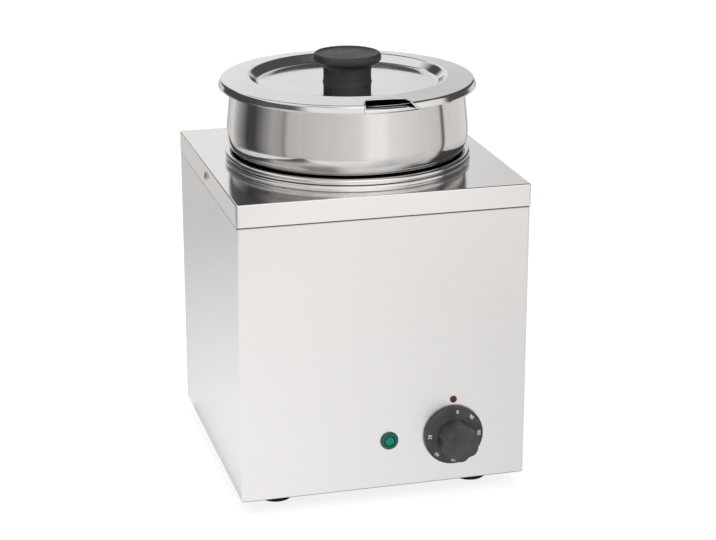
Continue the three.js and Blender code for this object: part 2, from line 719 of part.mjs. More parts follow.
// Pilot lamp: green barrel with a bezel, a lens in it and a nut behind the panel
const lampPlace = [controls.lampAcross, controlsZ, 0];

function makeLampBarrel() {
  const inner = lamp.barrelRadius - lamp.barrelWall;
  const slope = lamp.bezelHeight / 2;
  const floor = lamp.barrelWall - lamp.barrelLength;
  const shell = turned([
    [0, -lamp.barrelLength], [lamp.barrelRadius, -lamp.barrelLength], [lamp.barrelRadius, 0],
    [lamp.bezelRadius, 0], [lamp.bezelRadius, lamp.bezelHeight - slope],
    [lamp.bezelRadius - slope, lamp.bezelHeight], [inner, lamp.bezelHeight], [inner, floor], [0, floor],
  ], midSides);
  const half = lamp.tabGauge / 2;
  const tabs = [-1, 1].map((side) => {
    const x = side * lamp.tabSpread;
    return block(x - half, x + half, -lamp.tabSpread, lamp.tabSpread,
      -lamp.barrelLength - lamp.tabLength, gap - lamp.barrelLength);
  });
  return join(shell, ...tabs);
}

addPiece(front, 'pilot_lamp', makeLampBarrel(), 'greenPlastic', lampPlace);

function makeLens() {
  const radius = lamp.barrelRadius - lamp.barrelWall - gap;
  const dome = arc(0, lamp.bezelHeight, radius, lamp.lensReach - lamp.bezelHeight, 0, 90, 4);
  return turned([[0, -lamp.lensDepth], [radius, -lamp.lensDepth], ...dome], midSides);
}

addPiece(front, 'pilot_lens', makeLens(), 'greenLens', lampPlace);

const pilotNut = nut(lamp.nutRadius, lamp.barrelRadius + gap, -sheet - lamp.nutHeight, -sheet, midSides);
addPiece(front, 'pilot_nut', pilotNut, 'zincSteel', lampPlace);

// Red index marker above the dial
function makeMarker() {
  const dome = arc(0, 0, marker.radius, marker.height, 0, 90, 4);
  const stem = [[0, -marker.stemLength], [marker.stemRadius, -marker.stemLength], [marker.stemRadius, 0]];
  return turned([...stem, ...dome], midSides);
}

addPiece(front, 'index_marker', makeMarker(), 'redPlastic', [controls.dialAcross, markerZ, 0]);

// Cable gland in the rear panel, and its nut inside; across is seen from the front
const glandPlace = [-gland.across, glandZ, 0];

function makeGland() {
  const shank = rod(gland.shankRadius, -gland.shankLength, gap, 0, 0, midSides);
  const hex = rod(gland.hexRadius, 0, gland.hexHeight, 0, 0, hexSides);
  const top = gland.hexHeight + gland.domeHeight;
  const round = (gland.domeRadius - gland.domeTipRadius) / 2;
  const root = gland.hexHeight - gap;
  const dome = turned([
    [0, root], [gland.domeRadius, root], [gland.domeRadius, top - 2 * round],
    [gland.domeRadius - round, top - round / 2], [gland.domeTipRadius, top], [0, top],
  ], midSides);
  const bore = rod(gland.boreRadius, -gland.shankLength - overrun, top + overrun, 0, 0, midSides);
  return cut(join(shank, hex, dome), bore);
}

addPiece(rear, 'cable_gland', makeGland(), 'blackPlastic', glandPlace);

const glandNut = nut(gland.nutRadius, gland.shankRadius + gap, -sheet - gland.nutHeight, -sheet, midSides);
addPiece(rear, 'gland_nut', glandNut, 'blackPlastic', glandPlace);

// Terminal block on the base plate: a channel through each pole and a sunk screw over each end
const blockSize = {
  insetX: 63.7, insetY: 43.7, width: 40, depth: 22, height: 18, pitch: 9.4,
  channel: 2, channelRise: 6, screwRadius: 2, screwSink: 3, screwInset: 6,
};
const blockX = panelX - blockSize.insetX;
const blockY = panelY - blockSize.insetY;
const poleShares = [-1.5, -0.5, 0.5, 1.5];
const poleX = poleShares.map((share) => blockX + share * blockSize.pitch);
const channelZ = floorTop + blockSize.channelRise;
const blockTop = floorTop + blockSize.height;
const blockFront = blockY - blockSize.depth / 2;
const blockBack = blockY + blockSize.depth / 2;

function poleScrewPlaces() {
  const rows = [blockFront + blockSize.screwInset, blockBack - blockSize.screwInset];
  return poleX.flatMap((x) => rows.map((y) => [x, y]));
}

function makeTerminalBlock() {
  const left = blockX - blockSize.width / 2;
  const solid = block(left, left + blockSize.width, blockFront, blockBack, floorTop, blockTop);
  const channel = rod(blockSize.channel, blockFront - overrun, blockBack + overrun).rotate([-90, 0, 0]);
  const channels = poleX.map((x) => channel.translate([x, 0, channelZ]));
  const wells = poleScrewPlaces().map(([x, y]) =>
    rod(blockSize.screwRadius, blockTop - blockSize.screwSink, blockTop + overrun, x, y));
  return cut(solid, ...channels, ...wells);
}

addPiece(body, 'terminal_block', makeTerminalBlock(), 'whiteCeramic');

// Earth stud through the base plate, with its nut under the earth lead
function makeEarthStud() {
  return screw(earth.head, earth.headHeight, earth.shank, earth.length).rotate([180, 0, 0])
    .translate([earthX, earth.along, footHeight]);
}

addPiece(body, 'earth_stud', makeEarthStud(), 'brass');

const leadRadius = 1.2;
const earthNutTop = floorTop + earth.nutHeight;
const earthLeadZ = earthNutTop + gap + leadRadius;

addPiece(body, 'earth_nut', nut(earth.nutRadius, earth.shank + gap, floorTop, earthNutTop), 'brass',
  [earthX, earth.along, 0]);

// Sensing bulb on the basin's wall, its clip, and the capillary to the thermostat
const bulb = { radius: 3, length: 66, rise: 20, clipWall: 0.6, clipWidth: 9, ear: 8, capillaryRadius: 0.9 };
const bulbY = -(basinOuter + gap + bulb.radius);
const bulbZ = basinFloor + bulb.rise;

addPiece(body, 'sensing_bulb', rod(bulb.radius, -bulb.length / 2, bulb.length / 2).rotate([0, 90, 0])
  .translate([0, bulbY, bulbZ]), 'copper');

function makeClip() {
  const half = bulb.clipWidth / 2;
  const inner = bulb.radius + gap;
  const outer = inner + bulb.clipWall;
  const wallY = -(basinOuter + gap);
  const low = bulbZ - outer - bulb.ear;
  const high = bulbZ + outer + bulb.ear;
  const tube = rod(outer, -half, half).rotate([0, 90, 0]).translate([0, bulbY, bulbZ]);
  const bore = rod(inner, -half - overrun, half + overrun).rotate([0, 90, 0]).translate([0, bulbY, bulbZ]);
  const cheeks = block(-half, half, bulbY, wallY, bulbZ - outer, bulbZ + outer);
  const strap = block(-half, half, wallY - bulb.clipWall, wallY, low, high);
  const mouth = block(-half - overrun, half + overrun, bulbY, wallY + overrun, bulbZ - inner, bulbZ + inner);
  const wall = rod(basinOuter + gap, low - overrun, high + overrun, 0, 0, bigSides);
  return cut(join(tube, cheeks, strap), bore, mouth, wall);
}

addPiece(body, 'bulb_clip', makeClip(), 'zincSteel');

// A tube that leaves its start and reaches its end straight. The points between are shares of the
// way across, and of the rise, from the end of one straight stub to the end of the other.
function tubeBetween(start, startTurn, end, endTurn, wayShares, radius, steps) {
  const from = start.map((value, i) => value + startTurn[i] * leadStub);
  const to = end.map((value, i) => value + endTurn[i] * leadStub);
  const middle = wayShares.map(([acrossShare, riseShare]) => [
    from[0] + (to[0] - from[0]) * acrossShare,
    from[1] + (to[1] - from[1]) * acrossShare,
    from[2] + (to[2] - from[2]) * riseShare,
  ]);
  return lead([start, from, ...middle, to, end], radius, steps);
}

const leadStub = 9.5;
const leftward = [-1, 0, 0];
const rightward = [1, 0, 0];
const forward = [0, -1, 0];
const backward = [0, 1, 0];
const upward = [0, 0, 1];
const downward = [0, 0, -1];

const thermostatTop = controlsZ + thermostat.bodyHeight / 2;
const thermostatMidY = -panelY - (bracketBack + thermostatBack) / 2;
const capillaryStart = [controls.dialAcross + thermostat.bodyWidth / 4, thermostatMidY, thermostatTop + gap];
const capillaryEnd = [bulb.length / 2 + gap, bulbY, bulbZ];
const capillaryShares = [[0.03, 0.4], [0.35, 0.85]];

addPiece(body, 'capillary_tube', tubeBetween(capillaryStart, upward, capillaryEnd, rightward,
  capillaryShares, bulb.capillaryRadius, 12), 'copper');

// Leads: each one runs from terminal to terminal inside the housing
const tabX = [controls.dialAcross - thermostat.tabSpread / 2, controls.dialAcross + thermostat.tabSpread / 2];
const tabZ = [controlsZ - thermostat.tabRise / 2, controlsZ + thermostat.tabRise / 2];
const tabEndY = -panelY - thermostatBack + thermostat.tabLength + gap;
const lampTabY = -panelY + lamp.barrelLength + lamp.tabLength + gap;
const limiterTouchZ = limiterEnd - gap;
const pinTouchZ = pinEndZ - gap;
const poleEnds = poleX.map((x) => [x, blockFront + gap, channelZ]);
const leadEnds = {
  liveTab: [tabX[0], tabEndY, tabZ[0]],
  switchedTab: [tabX[1], tabEndY, tabZ[0]],
  lampFeedTab: [tabX[0], tabEndY, tabZ[1]],
  lampLive: [controls.lampAcross + lamp.tabSpread, lampTabY, controlsZ],
  lampNeutral: [controls.lampAcross - lamp.tabSpread, lampTabY, controlsZ],
  limiterIn: [limiterPlace - limiter.tabSpread, limiterPlace, limiterTouchZ],
  limiterOut: [limiterPlace + limiter.tabSpread, limiterPlace, limiterTouchZ],
  elementLive: [tailX, tailY, pinTouchZ],
  elementNeutral: [tailX, -tailY, pinTouchZ],
  earth: [earthX - earth.shank - 2 * gap, earth.along, earthLeadZ],
};
const leads = [
  { name: 'lead_live', color: 'brownLead', start: poleEnds[1], startTurn: forward,
    end: leadEnds.liveTab, endTurn: backward, wayShares: [[0.3, -0.03], [0.72, 0], [0.93, 0.55]] },
  { name: 'lead_switched', color: 'brownLead', start: leadEnds.switchedTab, startTurn: backward,
    end: leadEnds.limiterIn, endTurn: downward, wayShares: [[0.25, 0.25], [0.5, 0.5], [0.8, 0.75]] },
  { name: 'lead_element', color: 'brownLead', start: leadEnds.limiterOut, startTurn: downward,
    end: leadEnds.elementLive, endTurn: downward, wayShares: [[0.25, 1], [0.75, 1.3]] },
  { name: 'lead_neutral', color: 'blueLead', start: leadEnds.elementNeutral, startTurn: downward,
    end: poleEnds[2], endTurn: forward, wayShares: [[0.2, 0.5], [0.65, 0.9]] },
  { name: 'lead_earth', color: 'greenYellowLead', start: poleEnds[3], startTurn: forward,
    end: leadEnds.earth, endTurn: leftward, wayShares: [[0.5, 0.5]] },
  { name: 'lead_lamp_live', color: 'brownLead', start: leadEnds.lampFeedTab, startTurn: backward,
    end: leadEnds.lampLive, endTurn: backward, wayShares: [[0.3, 0.2], [0.7, 0.7]] },
  { name: 'lead_lamp_neutral', color: 'blueLead', start: leadEnds.lampNeutral, startTurn: backward,
    end: poleEnds[0], endTurn: forward, wayShares: [[0.25, 0.8], [0.7, 1]] },
];
const leadSteps = 14;
for (const { name, color, start, startTurn, end, endTurn, wayShares } of leads) {
  const tube = tubeBetween(start, startTurn, end, endTurn, wayShares, leadRadius, leadSteps);
  addPiece(body, name, tube, color);
}

// Pot: hangs in the well, its shoulder beside the basin's rim, its own rim rolled outwards
const pot = {
  wall: 0.8, cornerRadius: 16, waterGap: 15,
  shoulderFoot: -6, shoulderPull: 6, shoulderPush: 12, bellyRise: 24,
  neckTaper: 2.8, neckRise: 62, rimRise: 67.2, rimOffset: 2.6, rimWidth: 3.3, rimHeight: 2.8,
};
const neckRadius = bellyRadius - pot.neckTaper;
const rimRadius = neckRadius + pot.rimOffset;
const potUnder = basinFloor + pot.waterGap;

function makePot() {
  const wall = pot.wall;
  const inner = potRadius - wall;
  const corner = pot.cornerRadius - wall;
  const bottom = potUnder + wall;
  const line = [
    [0, bottom],
    ...arc(inner - corner, bottom + corner, corner, corner, -90, 0, 3),
    ...bezier([inner, plateTop + pot.shoulderFoot], [inner, plateTop + pot.shoulderPull],
      [bellyRadius - wall, plateTop + pot.shoulderPush], [bellyRadius - wall, plateTop + pot.bellyRise], 6),
    [neckRadius - wall, plateTop + pot.neckRise], [neckRadius - wall, plateTop + pot.rimRise],
  ];
  const shell = turnedSheet(line, wall, bigSides);
  const rimZ = plateTop + pot.rimRise;
  const roll = turnedRing(arc(rimRadius, rimZ, pot.rimWidth, pot.rimHeight, 180, -135, 7), bigSides);
  return join(shell, roll);
}

addPiece(body, 'pot_insert', makePot(), 'polishedSteel');

// Lid: a recessed plate with a rolled-down edge and a notch for the ladle
const lid = {
  wall: 0.8, floorRise: 66.3, recessSlope: 7.5, lipRise: 73.6, flangeWidth: 20.6,
  breakRise: 71, edgeWidth: 4.2, skirtRise: 64.8, screwHole: 2.8,
};
const notch = { degrees: -86, depth: 12.6, innerHalf: 16.2, breakHalf: 21, skirtLeft: 22, skirtRight: 26 };
const lidFloor = plateTop + lid.floorRise;
const breakRadius = lidRadius - lid.edgeWidth;
const lipRadius = breakRadius - lid.flangeWidth;
const floorRadius = lipRadius - lid.recessSlope;

function makeLid() {
  const lipZ = plateTop + lid.lipRise;
  const breakZ = plateTop + lid.breakRise;
  const skirtDropShare = 0.62;
  const skirtDrop = (lid.breakRise - lid.skirtRise) * skirtDropShare;
  const line = [
    [0, lidFloor],
    ...bezier([floorRadius, lidFloor], [floorRadius + lid.recessSlope / 2, lidFloor],
      [lipRadius - lid.recessSlope / 2, lipZ], [lipRadius, lipZ], 5),
    ...arc(breakRadius, breakZ - skirtDrop, lid.edgeWidth, skirtDrop, 90, 0, 4),
    [lidRadius, plateTop + lid.skirtRise],
  ];
  return cut(turnedSheet(line, lid.wall, bigSides), notchTool(),
    rod(lid.screwHole, lidFloor - lid.wall - overrun, lidFloor + overrun));
}

function notchTool() {
  const inside = breakRadius - notch.depth;
  const outside = lidRadius + overrun;
  const shape = new THREE.Shape([
    new THREE.Vector2(inside, -notch.innerHalf), new THREE.Vector2(breakRadius, -notch.breakHalf),
    new THREE.Vector2(outside, -notch.skirtLeft), new THREE.Vector2(outside, notch.skirtRight),
    new THREE.Vector2(breakRadius, notch.breakHalf), new THREE.Vector2(inside, notch.innerHalf),
  ]);
  const low = plateTop + lid.skirtRise - overrun;
  return prism(shape, low, plateTop + lid.lipRise + overrun).rotate([0, 0, notch.degrees]);
}

addPiece(body, 'lid_plate', makeLid(), 'polishedSteel');

// Lid knob: black moulded mushroom, screwed from under the lid
const lidKnob = { radius: 29.4, height: 25.6, boreRadius: 2.6, boreDepth: 16 };
const lidKnobShares = [
  [0.73, 0], [0.705, 0.1], [0.7, 0.4], [0.72, 0.5], [0.79, 0.63], [0.92, 0.72], [1, 0.8], [1, 0.86],
  [0.95, 0.96], [0.9, 1], [0.86, 0.975], [0.8, 0.95], [0, 0.965],
];

function makeLidKnob() {
  const outline = lidKnobShares.map(([radiusShare, heightShare]) =>
    [lidKnob.radius * radiusShare, lidFloor + lidKnob.height * heightShare]);
  const solid = turned([[0, lidFloor], ...outline], midSides);
  return cut(solid, rod(lidKnob.boreRadius, lidFloor - overrun, lidFloor + lidKnob.boreDepth));
}

addPiece(body, 'lid_knob', makeLidKnob(), 'blackPlastic');

// Screw from under the lid, with a broad flange as its washer
const lidScrew = { radius: 2.3, head: 4.4, headHeight: 2.4, flangeRadius: 7.5, flangeHeight: 1 };

function makeLidScrew() {
  const top = lidFloor - lid.wall;
  const flangeUnder = top - lidScrew.flangeHeight;
  return turned([
    [0, flangeUnder - lidScrew.headHeight], [lidScrew.head, flangeUnder - lidScrew.headHeight],
    [lidScrew.head, flangeUnder], [lidScrew.flangeRadius, flangeUnder], [lidScrew.flangeRadius, top],
    [lidScrew.radius, top], [lidScrew.radius, lidFloor + lidKnob.boreDepth - overrun],
    [0, lidFloor + lidKnob.boreDepth - overrun],
  ], smallSides);
}

addPiece(body, 'lid_knob_screw', makeLidScrew(), 'zincSteel');

// The knob reaches further forward than the gland reaches back: half the difference moves the body back
const frontReach = panelY + dial.gripHeight;
const rearReach = panelY + gland.hexHeight + gland.domeHeight;
body.position.y = (frontReach - rearReach) / 2;

export default bainMarie;
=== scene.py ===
import math

import bmesh
import bpy
from mathutils import Matrix, Vector
from mathutils.geometry import interpolate_bezier


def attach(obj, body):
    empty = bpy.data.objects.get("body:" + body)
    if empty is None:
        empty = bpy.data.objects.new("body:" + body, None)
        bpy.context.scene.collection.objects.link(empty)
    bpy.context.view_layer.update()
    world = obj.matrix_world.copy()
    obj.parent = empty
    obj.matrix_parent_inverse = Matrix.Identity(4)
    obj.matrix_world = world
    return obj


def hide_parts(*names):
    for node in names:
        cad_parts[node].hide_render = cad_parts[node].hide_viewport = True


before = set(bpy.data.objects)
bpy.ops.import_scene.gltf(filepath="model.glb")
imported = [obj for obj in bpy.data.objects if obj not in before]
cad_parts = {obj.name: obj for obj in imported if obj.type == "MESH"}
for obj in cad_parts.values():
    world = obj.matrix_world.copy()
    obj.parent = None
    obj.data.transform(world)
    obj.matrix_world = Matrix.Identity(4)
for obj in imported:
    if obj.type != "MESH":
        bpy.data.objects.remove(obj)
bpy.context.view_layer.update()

# Camera: a long lens a little left of the front and above the lid, level from side to side.
# Its place and length of lens come from the housing's corners in the photograph.
degrees_left, degrees_down = 15.0787, 18.3845


def link_object(name, data):
    """A new object in the scene."""
    made = bpy.data.objects.new(name, data)
    bpy.context.collection.objects.link(made)
    return made


camera_data = bpy.data.cameras.new("front_left_camera")
camera_data.sensor_fit = "HORIZONTAL"
camera_data.sensor_width = 36.0
camera_data.lens = 101.28
camera_data.clip_start = 0.05
camera_data.clip_end = 60.0
camera = link_object("front_left_camera", camera_data)
camera.location = (-0.431866, -1.632057, 0.732473)
camera.rotation_euler = (math.radians(90 - degrees_down), 0.0, math.radians(-degrees_left))
bpy.context.scene.camera = camera

# Feet: four moulded rubber feet, one under each corner of the base. A sunk pan-head screw
# goes up through each foot and taps into the base plate. Lengths are in millimetres from the
# housing's middle, which lies behind the middle of the frame.
housing_shift = Vector((0.0, 6.5, 0.0))
foot_places = {"front_left": (-87.5, -87.5), "front_right": (87.5, -87.5),
               "rear_left": (-87.5, 87.5), "rear_right": (87.5, 87.5)}
foot_height, foot_seat, foot_bore, foot_recess = 15.0, 8.0, 2.3, 5.4
foot_profile = [(foot_recess, 0), (14.0, 0), (14.8, foot_height), (foot_bore, foot_height),
                (foot_bore, foot_seat), (foot_recess, foot_seat)]


def round_off(shape, geom, offset, segments, affect="VERTICES"):
    """Rounds corners of a line, or edges of a solid."""
    bmesh.ops.bevel(shape, geom=geom, offset=offset, offset_type="OFFSET", segments=segments,
                    profile=0.5, affect=affect, material=-1)


def turn_profile(points, steps, fillets=None, closed=False):
    """A line of (radius, height) points, some of them rounded, turned about Z. A long straight
    stretch gets a point near each end, which keeps its smooth shading even between them."""
    shape = bmesh.new()
    corners = [shape.verts.new((radius, 0.0, height)) for radius, height in points]
    followers = corners[1:] + corners[:1] if closed else corners[1:]
    for corner, follower in zip(corners, followers):
        shape.edges.new((corner, follower))
    for index, length in (fillets or {}).items():
        round_off(shape, [corners[index]], length, 5)
    for edge in [edge for edge in shape.edges if edge.calc_length() > 3]:
        for end in [vert for vert in edge.verts if vert.co.x > 0.01]:
            bmesh.utils.edge_split(edge, end, 0.5 / edge.calc_length())
    bmesh.ops.spin(shape, geom=shape.verts[:] + shape.edges[:], cent=(0, 0, 0), axis=(0, 0, 1),
                   dvec=(0, 0, 0), angle=2 * math.pi, steps=steps, use_merge=True,
                   use_duplicate=False)
    bmesh.ops.remove_doubles(shape, verts=shape.verts[:], dist=0.0005)
    bmesh.ops.recalc_face_normals(shape, faces=shape.faces[:])
    return shape


def place_shape(shape, place=(0, 0, 0), turn=None):
    """Turns a shape about the origin, then moves it."""
    if turn is not None:
        bmesh.ops.rotate(shape, cent=(0, 0, 0), matrix=turn, verts=shape.verts[:])
    bmesh.ops.translate(shape, vec=place, verts=shape.verts[:])
    return shape


def make_mesh(name, shape, finish):
    """A mesh of one material from a shape, which is used up."""
    mesh = bpy.data.meshes.new(name)
    shape.to_mesh(mesh)
    shape.free()
    mesh.materials.append(finish)
    return mesh


def add_piece(name, shape, finish, body, slot, *stands_for):
    """Makes a shape an object in metres that rides on a body and stands for CAD nodes. Its
    edges that turn by more than 38 degrees stay crisp."""
    for edge in shape.edges:
        if len(edge.link_faces) == 2 and edge.calc_face_angle() > math.radians(38):
            edge.smooth = False
    bmesh.ops.translate(shape, vec=housing_shift, verts=shape.verts[:])
    bmesh.ops.scale(shape, vec=(0.001, 0.001, 0.001), verts=shape.verts[:])
    mesh = make_mesh(name, shape, finish)
    mesh.shade_smooth()
    piece = link_object(name, mesh)
    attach(piece, body)
    if stands_for:
        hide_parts(*stands_for)


def new_finish(name, colour, roughness, metallic=0.0):
    """A material with its even values set on the shader itself."""
    finish = bpy.data.materials.new(name)
    finish.use_nodes = True
    shader = finish.node_tree.nodes["Principled BSDF"]
    shader.inputs["Base Color"].default_value = (*colour, 1.0)
    shader.inputs["Roughness"].default_value = roughness
    shader.inputs["Metallic"].default_value = metallic
    return finish, finish.node_tree, shader


def add_node(tree, kind, inputs=None, **settings):
    """A node with its settings. Each input is a value or another node's output."""
    node = tree.nodes.new(kind)
    for setting, value in settings.items():
        setattr(node, setting, value)
    for socket, value in (inputs or {}).items():
        if isinstance(value, bpy.types.NodeSocket):
            tree.links.new(value, node.inputs[socket])
        else:
            node.inputs[socket].default_value = value
    return node


def on_piece(tree):
    """A point's place on the piece, in metres."""
    return add_node(tree, "ShaderNodeTexCoord").outputs["Object"]


def grain(tree, stretch, detail=3.0):
    """Noise over the piece, repeated so many times a metre along X, Y and Z."""
    scaled = add_node(tree, "ShaderNodeMapping", {"Vector": on_piece(tree), "Scale": stretch})
    noise = add_node(tree, "ShaderNodeTexNoise",
                     {"Vector": scaled.outputs["Vector"], "Scale": 1.0, "Detail": detail})
    return noise.outputs["Fac"]


def between(tree, value, low, high, start=0.3, end=0.7):
    """Goes from low to high as a value goes from start to end."""
    spread = add_node(tree, "ShaderNodeMapRange", {"Value": value, "From Min": start, "From Max": end,
                                                   "To Min": low, "To Max": high})
    return spread.outputs["Result"]


def two_tone(tree, shader, value, dark, light):
    """Colours the piece from dark to light as a value goes from 0.3 to 0.7."""
    tones = add_node(tree, "ShaderNodeValToRGB", {"Fac": value})
    for stop, position, colour in zip(tones.color_ramp.elements, (0.3, 0.7), (dark, light)):
        stop.position = position
        stop.color = (*colour, 1.0)
    tree.links.new(tones.outputs["Color"], shader.inputs["Base Color"])


def uneven_sheen(tree, shader, value, low, high, start=0.3, end=0.7):
    """Takes the roughness from low to high as a value goes from start to end."""
    tree.links.new(between(tree, value, low, high, start, end), shader.inputs["Roughness"])


def relief(tree, shader, value, depth):
    """Raises and sinks the surface by a depth in metres."""
    bump = add_node(tree, "ShaderNodeBump", {"Height": value, "Distance": depth})
    tree.links.new(bump.outputs["Normal"], shader.inputs["Normal"])


def moulded(name, dark, light, rough, grains, depth):
    """Moulded rubber or plastic: a fine grain, faint clouds of tone and uneven sheen."""
    finish, tree, shader = new_finish(name, light, rough)
    two_tone(tree, shader, grain(tree, (70, 70, 70), 4.0), dark, light)
    uneven_sheen(tree, shader, grain(tree, (230, 230, 230)), rough - 0.06, rough + 0.06)
    relief(tree, shader, grain(tree, (grains, grains, grains), 2.0), depth)
    return finish


black_rubber = moulded("black_rubber", (0.008, 0.008, 0.008), (0.014, 0.014, 0.014), 0.72, 1500, 0.0001)
for name, (x, y) in foot_places.items():
    foot = turn_profile(foot_profile, 48, {0: 0.5, 1: 1.6, 2: 1.2}, closed=True)
    add_piece(f"foot_{name}_moulding", place_shape(foot, (x, y, 0)), black_rubber,
              "housing", "black_rubber", f"foot_{name}")

# Screws: zinc-plated pan heads with a cross recess. One in each foot, two up into the base
# flanges, four in the rear panel, three that hold the cap and two behind the control knob.
sheet_face, cap_face = 124.5, 125.0
dial_x, dial_z, thermostat_screw_offset = 60, 56.5, 14
rear_screw_x, rear_screw_low, rear_screw_high = 115.7, 45.2, 237.6
cap_screw_z = 264.5
facing_down = Matrix.Rotation(math.pi, 3, "X")
facing_front = Matrix.Rotation(math.pi / 2, 3, "X")
facing_rear = Matrix.Rotation(math.pi, 3, "Z") @ facing_front
facing_left = Matrix.Rotation(-math.pi / 2, 3, "Z") @ facing_front
facing_right = Matrix.Rotation(math.pi / 2, 3, "Z") @ facing_front


def verts_in(items):
    """The vertices among the things that an operator made."""
    return [item for item in items if isinstance(item, bmesh.types.BMVert)]


def edges_in(items):
    """The edges among the things that an operator made."""
    return [item for item in items if isinstance(item, bmesh.types.BMEdge)]


def pan_head(head_radius, head_height, shank_radius, length):
    """A screw whose head stands on z = 0 and whose shank runs down."""
    crown = head_radius * 0.62
    screw = turn_profile([(crown, head_height), (head_radius, head_height * 0.55),
                          (head_radius, 0), (shank_radius, 0), (shank_radius, -length),
                          (0, -length)], 32, {1: head_height * 0.3})
    arm, half = crown * 0.86, crown * 0.2
    cross = [(arm, -half), (arm, half), (half, half), (half, arm), (-half, arm), (-half, half),
             (-arm, half), (-arm, -half), (-half, -half), (-half, -arm), (half, -arm), (half, -half)]
    rim = [edge for edge in screw.edges if edge.is_boundary]
    corners = [screw.verts.new((x, y, head_height)) for x, y in cross]
    lip = [screw.edges.new(pair) for pair in zip(corners, corners[1:] + corners[:1])]
    bmesh.ops.triangle_fill(screw, use_beauty=True, edges=rim + lip)
    sunk = bmesh.ops.extrude_edge_only(screw, edges=lip)["geom"]
    floor = verts_in(sunk)
    bmesh.ops.translate(screw, vec=(0, 0, -head_height * 0.75), verts=floor)
    bmesh.ops.scale(screw, vec=(0.7, 0.7, 1), verts=floor)
    bmesh.ops.triangle_fill(screw, use_beauty=True, edges=edges_in(sunk))
    bmesh.ops.recalc_face_normals(screw, faces=screw.faces[:])
    return screw


def plated(name, dark, light, rough):
    """Plated or bare metal: cloudy tone, fine scratches and uneven gloss."""
    finish, tree, shader = new_finish(name, light, rough, 1.0)
    two_tone(tree, shader, grain(tree, (160, 160, 160), 5.0), dark, light)
    uneven_sheen(tree, shader, grain(tree, (420, 420, 420), 4.0), rough - 0.1, rough + 0.1)
    relief(tree, shader, grain(tree, (2600, 2600, 2600), 2.0), 0.00002)
    return finish


zinc_plating = plated("zinc_plating", (0.42, 0.44, 0.46), (0.62, 0.64, 0.67), 0.34)


def add_screw(node, size, place, turn):
    """A screw of (head radius, head height, shank radius, length) that stands for a node."""
    add_piece(f"{node}_head", place_shape(pan_head(*size), place, turn), zinc_plating,
              "housing", "zinc_steel", node)


for name, (x, y) in foot_places.items():
    add_screw(f"foot_screw_{name}", (4.2, 2.8, 2.0, 12), (x, y, foot_seat), facing_down)
for name, x in (("left", -117.7), ("right", 117.7)):
    add_screw(f"base_screw_{name}", (3.1, 1.4, 1.5, 6), (x, 0, 14), facing_down)
for name, x, z in (("lower_left", -rear_screw_x, rear_screw_low),
                   ("lower_right", rear_screw_x, rear_screw_low),
                   ("upper_left", -rear_screw_x, rear_screw_high),
                   ("upper_right", rear_screw_x, rear_screw_high)):
    add_screw(f"rear_screw_{name}", (3.1, 1.4, 1.5, 6), (x, sheet_face, z), facing_rear)
for name, place, turn in (("left", (-cap_face, 0, cap_screw_z), facing_left),
                          ("right", (cap_face, 0, cap_screw_z), facing_right),
                          ("rear", (0, cap_face, cap_screw_z), facing_rear)):
    add_screw(f"cap_screw_{name}", (3.9, 1.6, 1.9, 7), place, turn)
for name, offset in (("upper", thermostat_screw_offset), ("lower", -thermostat_screw_offset)):
    add_screw(f"thermostat_screw_{name}", (2.9, 1.5, 1.7, 5.5),
              (dial_x, -sheet_face, dial_z + offset), facing_front)

# Base plate: galvanised sheet on the housing's lower flanges, with vent slots and holes for
# the feet and the earth stud. The CAD plate is right, so it only gets its spangled zinc.
galvanised, tree, shader = new_finish("galvanised_sheet", (0.55, 0.57, 0.6), 0.42, 1.0)
crystals = add_node(tree, "ShaderNodeTexVoronoi", {"Vector": on_piece(tree), "Scale": 150.0})
flakes = add_node(tree, "ShaderNodeSeparateColor", {"Color": crystals.outputs["Color"]})
two_tone(tree, shader, flakes.outputs["Red"], (0.4, 0.42, 0.45), (0.62, 0.64, 0.66))
uneven_sheen(tree, shader, flakes.outputs["Green"], 0.3, 0.5, 0.0, 1.0)
relief(tree, shader, grain(tree, (1800, 1800, 1800), 2.0), 0.00002)


def refinish(finish, *nodes):
    """Gives CAD nodes that keep their shape a material of this scene."""
    for node in nodes:
        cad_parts[node].data.materials.clear()
        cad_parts[node].data.materials.append(finish)


refinish(galvanised, "base_plate", "thermostat_bracket")

# Housing: one sheet of brushed stainless steel, 1 mm, folded to the front and both sides. Its
# lower flanges carry the base plate, and two return flanges behind take the rear panel. All
# sheets step in under the cap's skirt, so that the skirt lies nearly flush with them.
flange_face, bend_radius, return_flange, lower_flange = 123.5, 1.8, 13.2, 12
housing_low, housing_high = 14.0, 273.0
lamp_x, marker_z = 3.5, 88.5
front_holes = [(5.3, dial_x, dial_z), (2, dial_x, dial_z + thermostat_screw_offset),
               (2, dial_x, dial_z - thermostat_screw_offset), (6.1, lamp_x, dial_z),
               (2, dial_x, marker_z)]


def add_outline(shape, points, fillet=0.0, segments=6):
    """A closed line in the XY plane, with its corners rounded."""
    corners = [shape.verts.new((x, y, 0.0)) for x, y in points]
    edges = [shape.edges.new(pair) for pair in zip(corners, corners[1:] + corners[:1])]
    if fillet:
        old = set(shape.edges) - set(edges)
        round_off(shape, corners, fillet, segments)
        edges = [edge for edge in shape.edges if edge not in old]
    return edges


def add_hole(shape, radius, x, y, segments=40):
    """A round hole's line in the XY plane."""
    old = set(shape.edges)
    bmesh.ops.create_circle(shape, cap_ends=False, radius=radius, segments=segments,
                            matrix=Matrix.Translation((x, y, 0)))
    return [edge for edge in shape.edges if edge not in old]


def push(shape, edges, move=(0, 0, 0), factor=(1, 1, 1), about=(0, 0, 0)):
    """Extrudes edges, scales the new ones about a point, moves them and returns them."""
    made = bmesh.ops.extrude_edge_only(shape, edges=edges)["geom"]
    bmesh.ops.scale(shape, vec=factor, verts=verts_in(made), space=Matrix.Translation(-Vector(about)))
    bmesh.ops.translate(shape, vec=move, verts=verts_in(made))
    return edges_in(made)


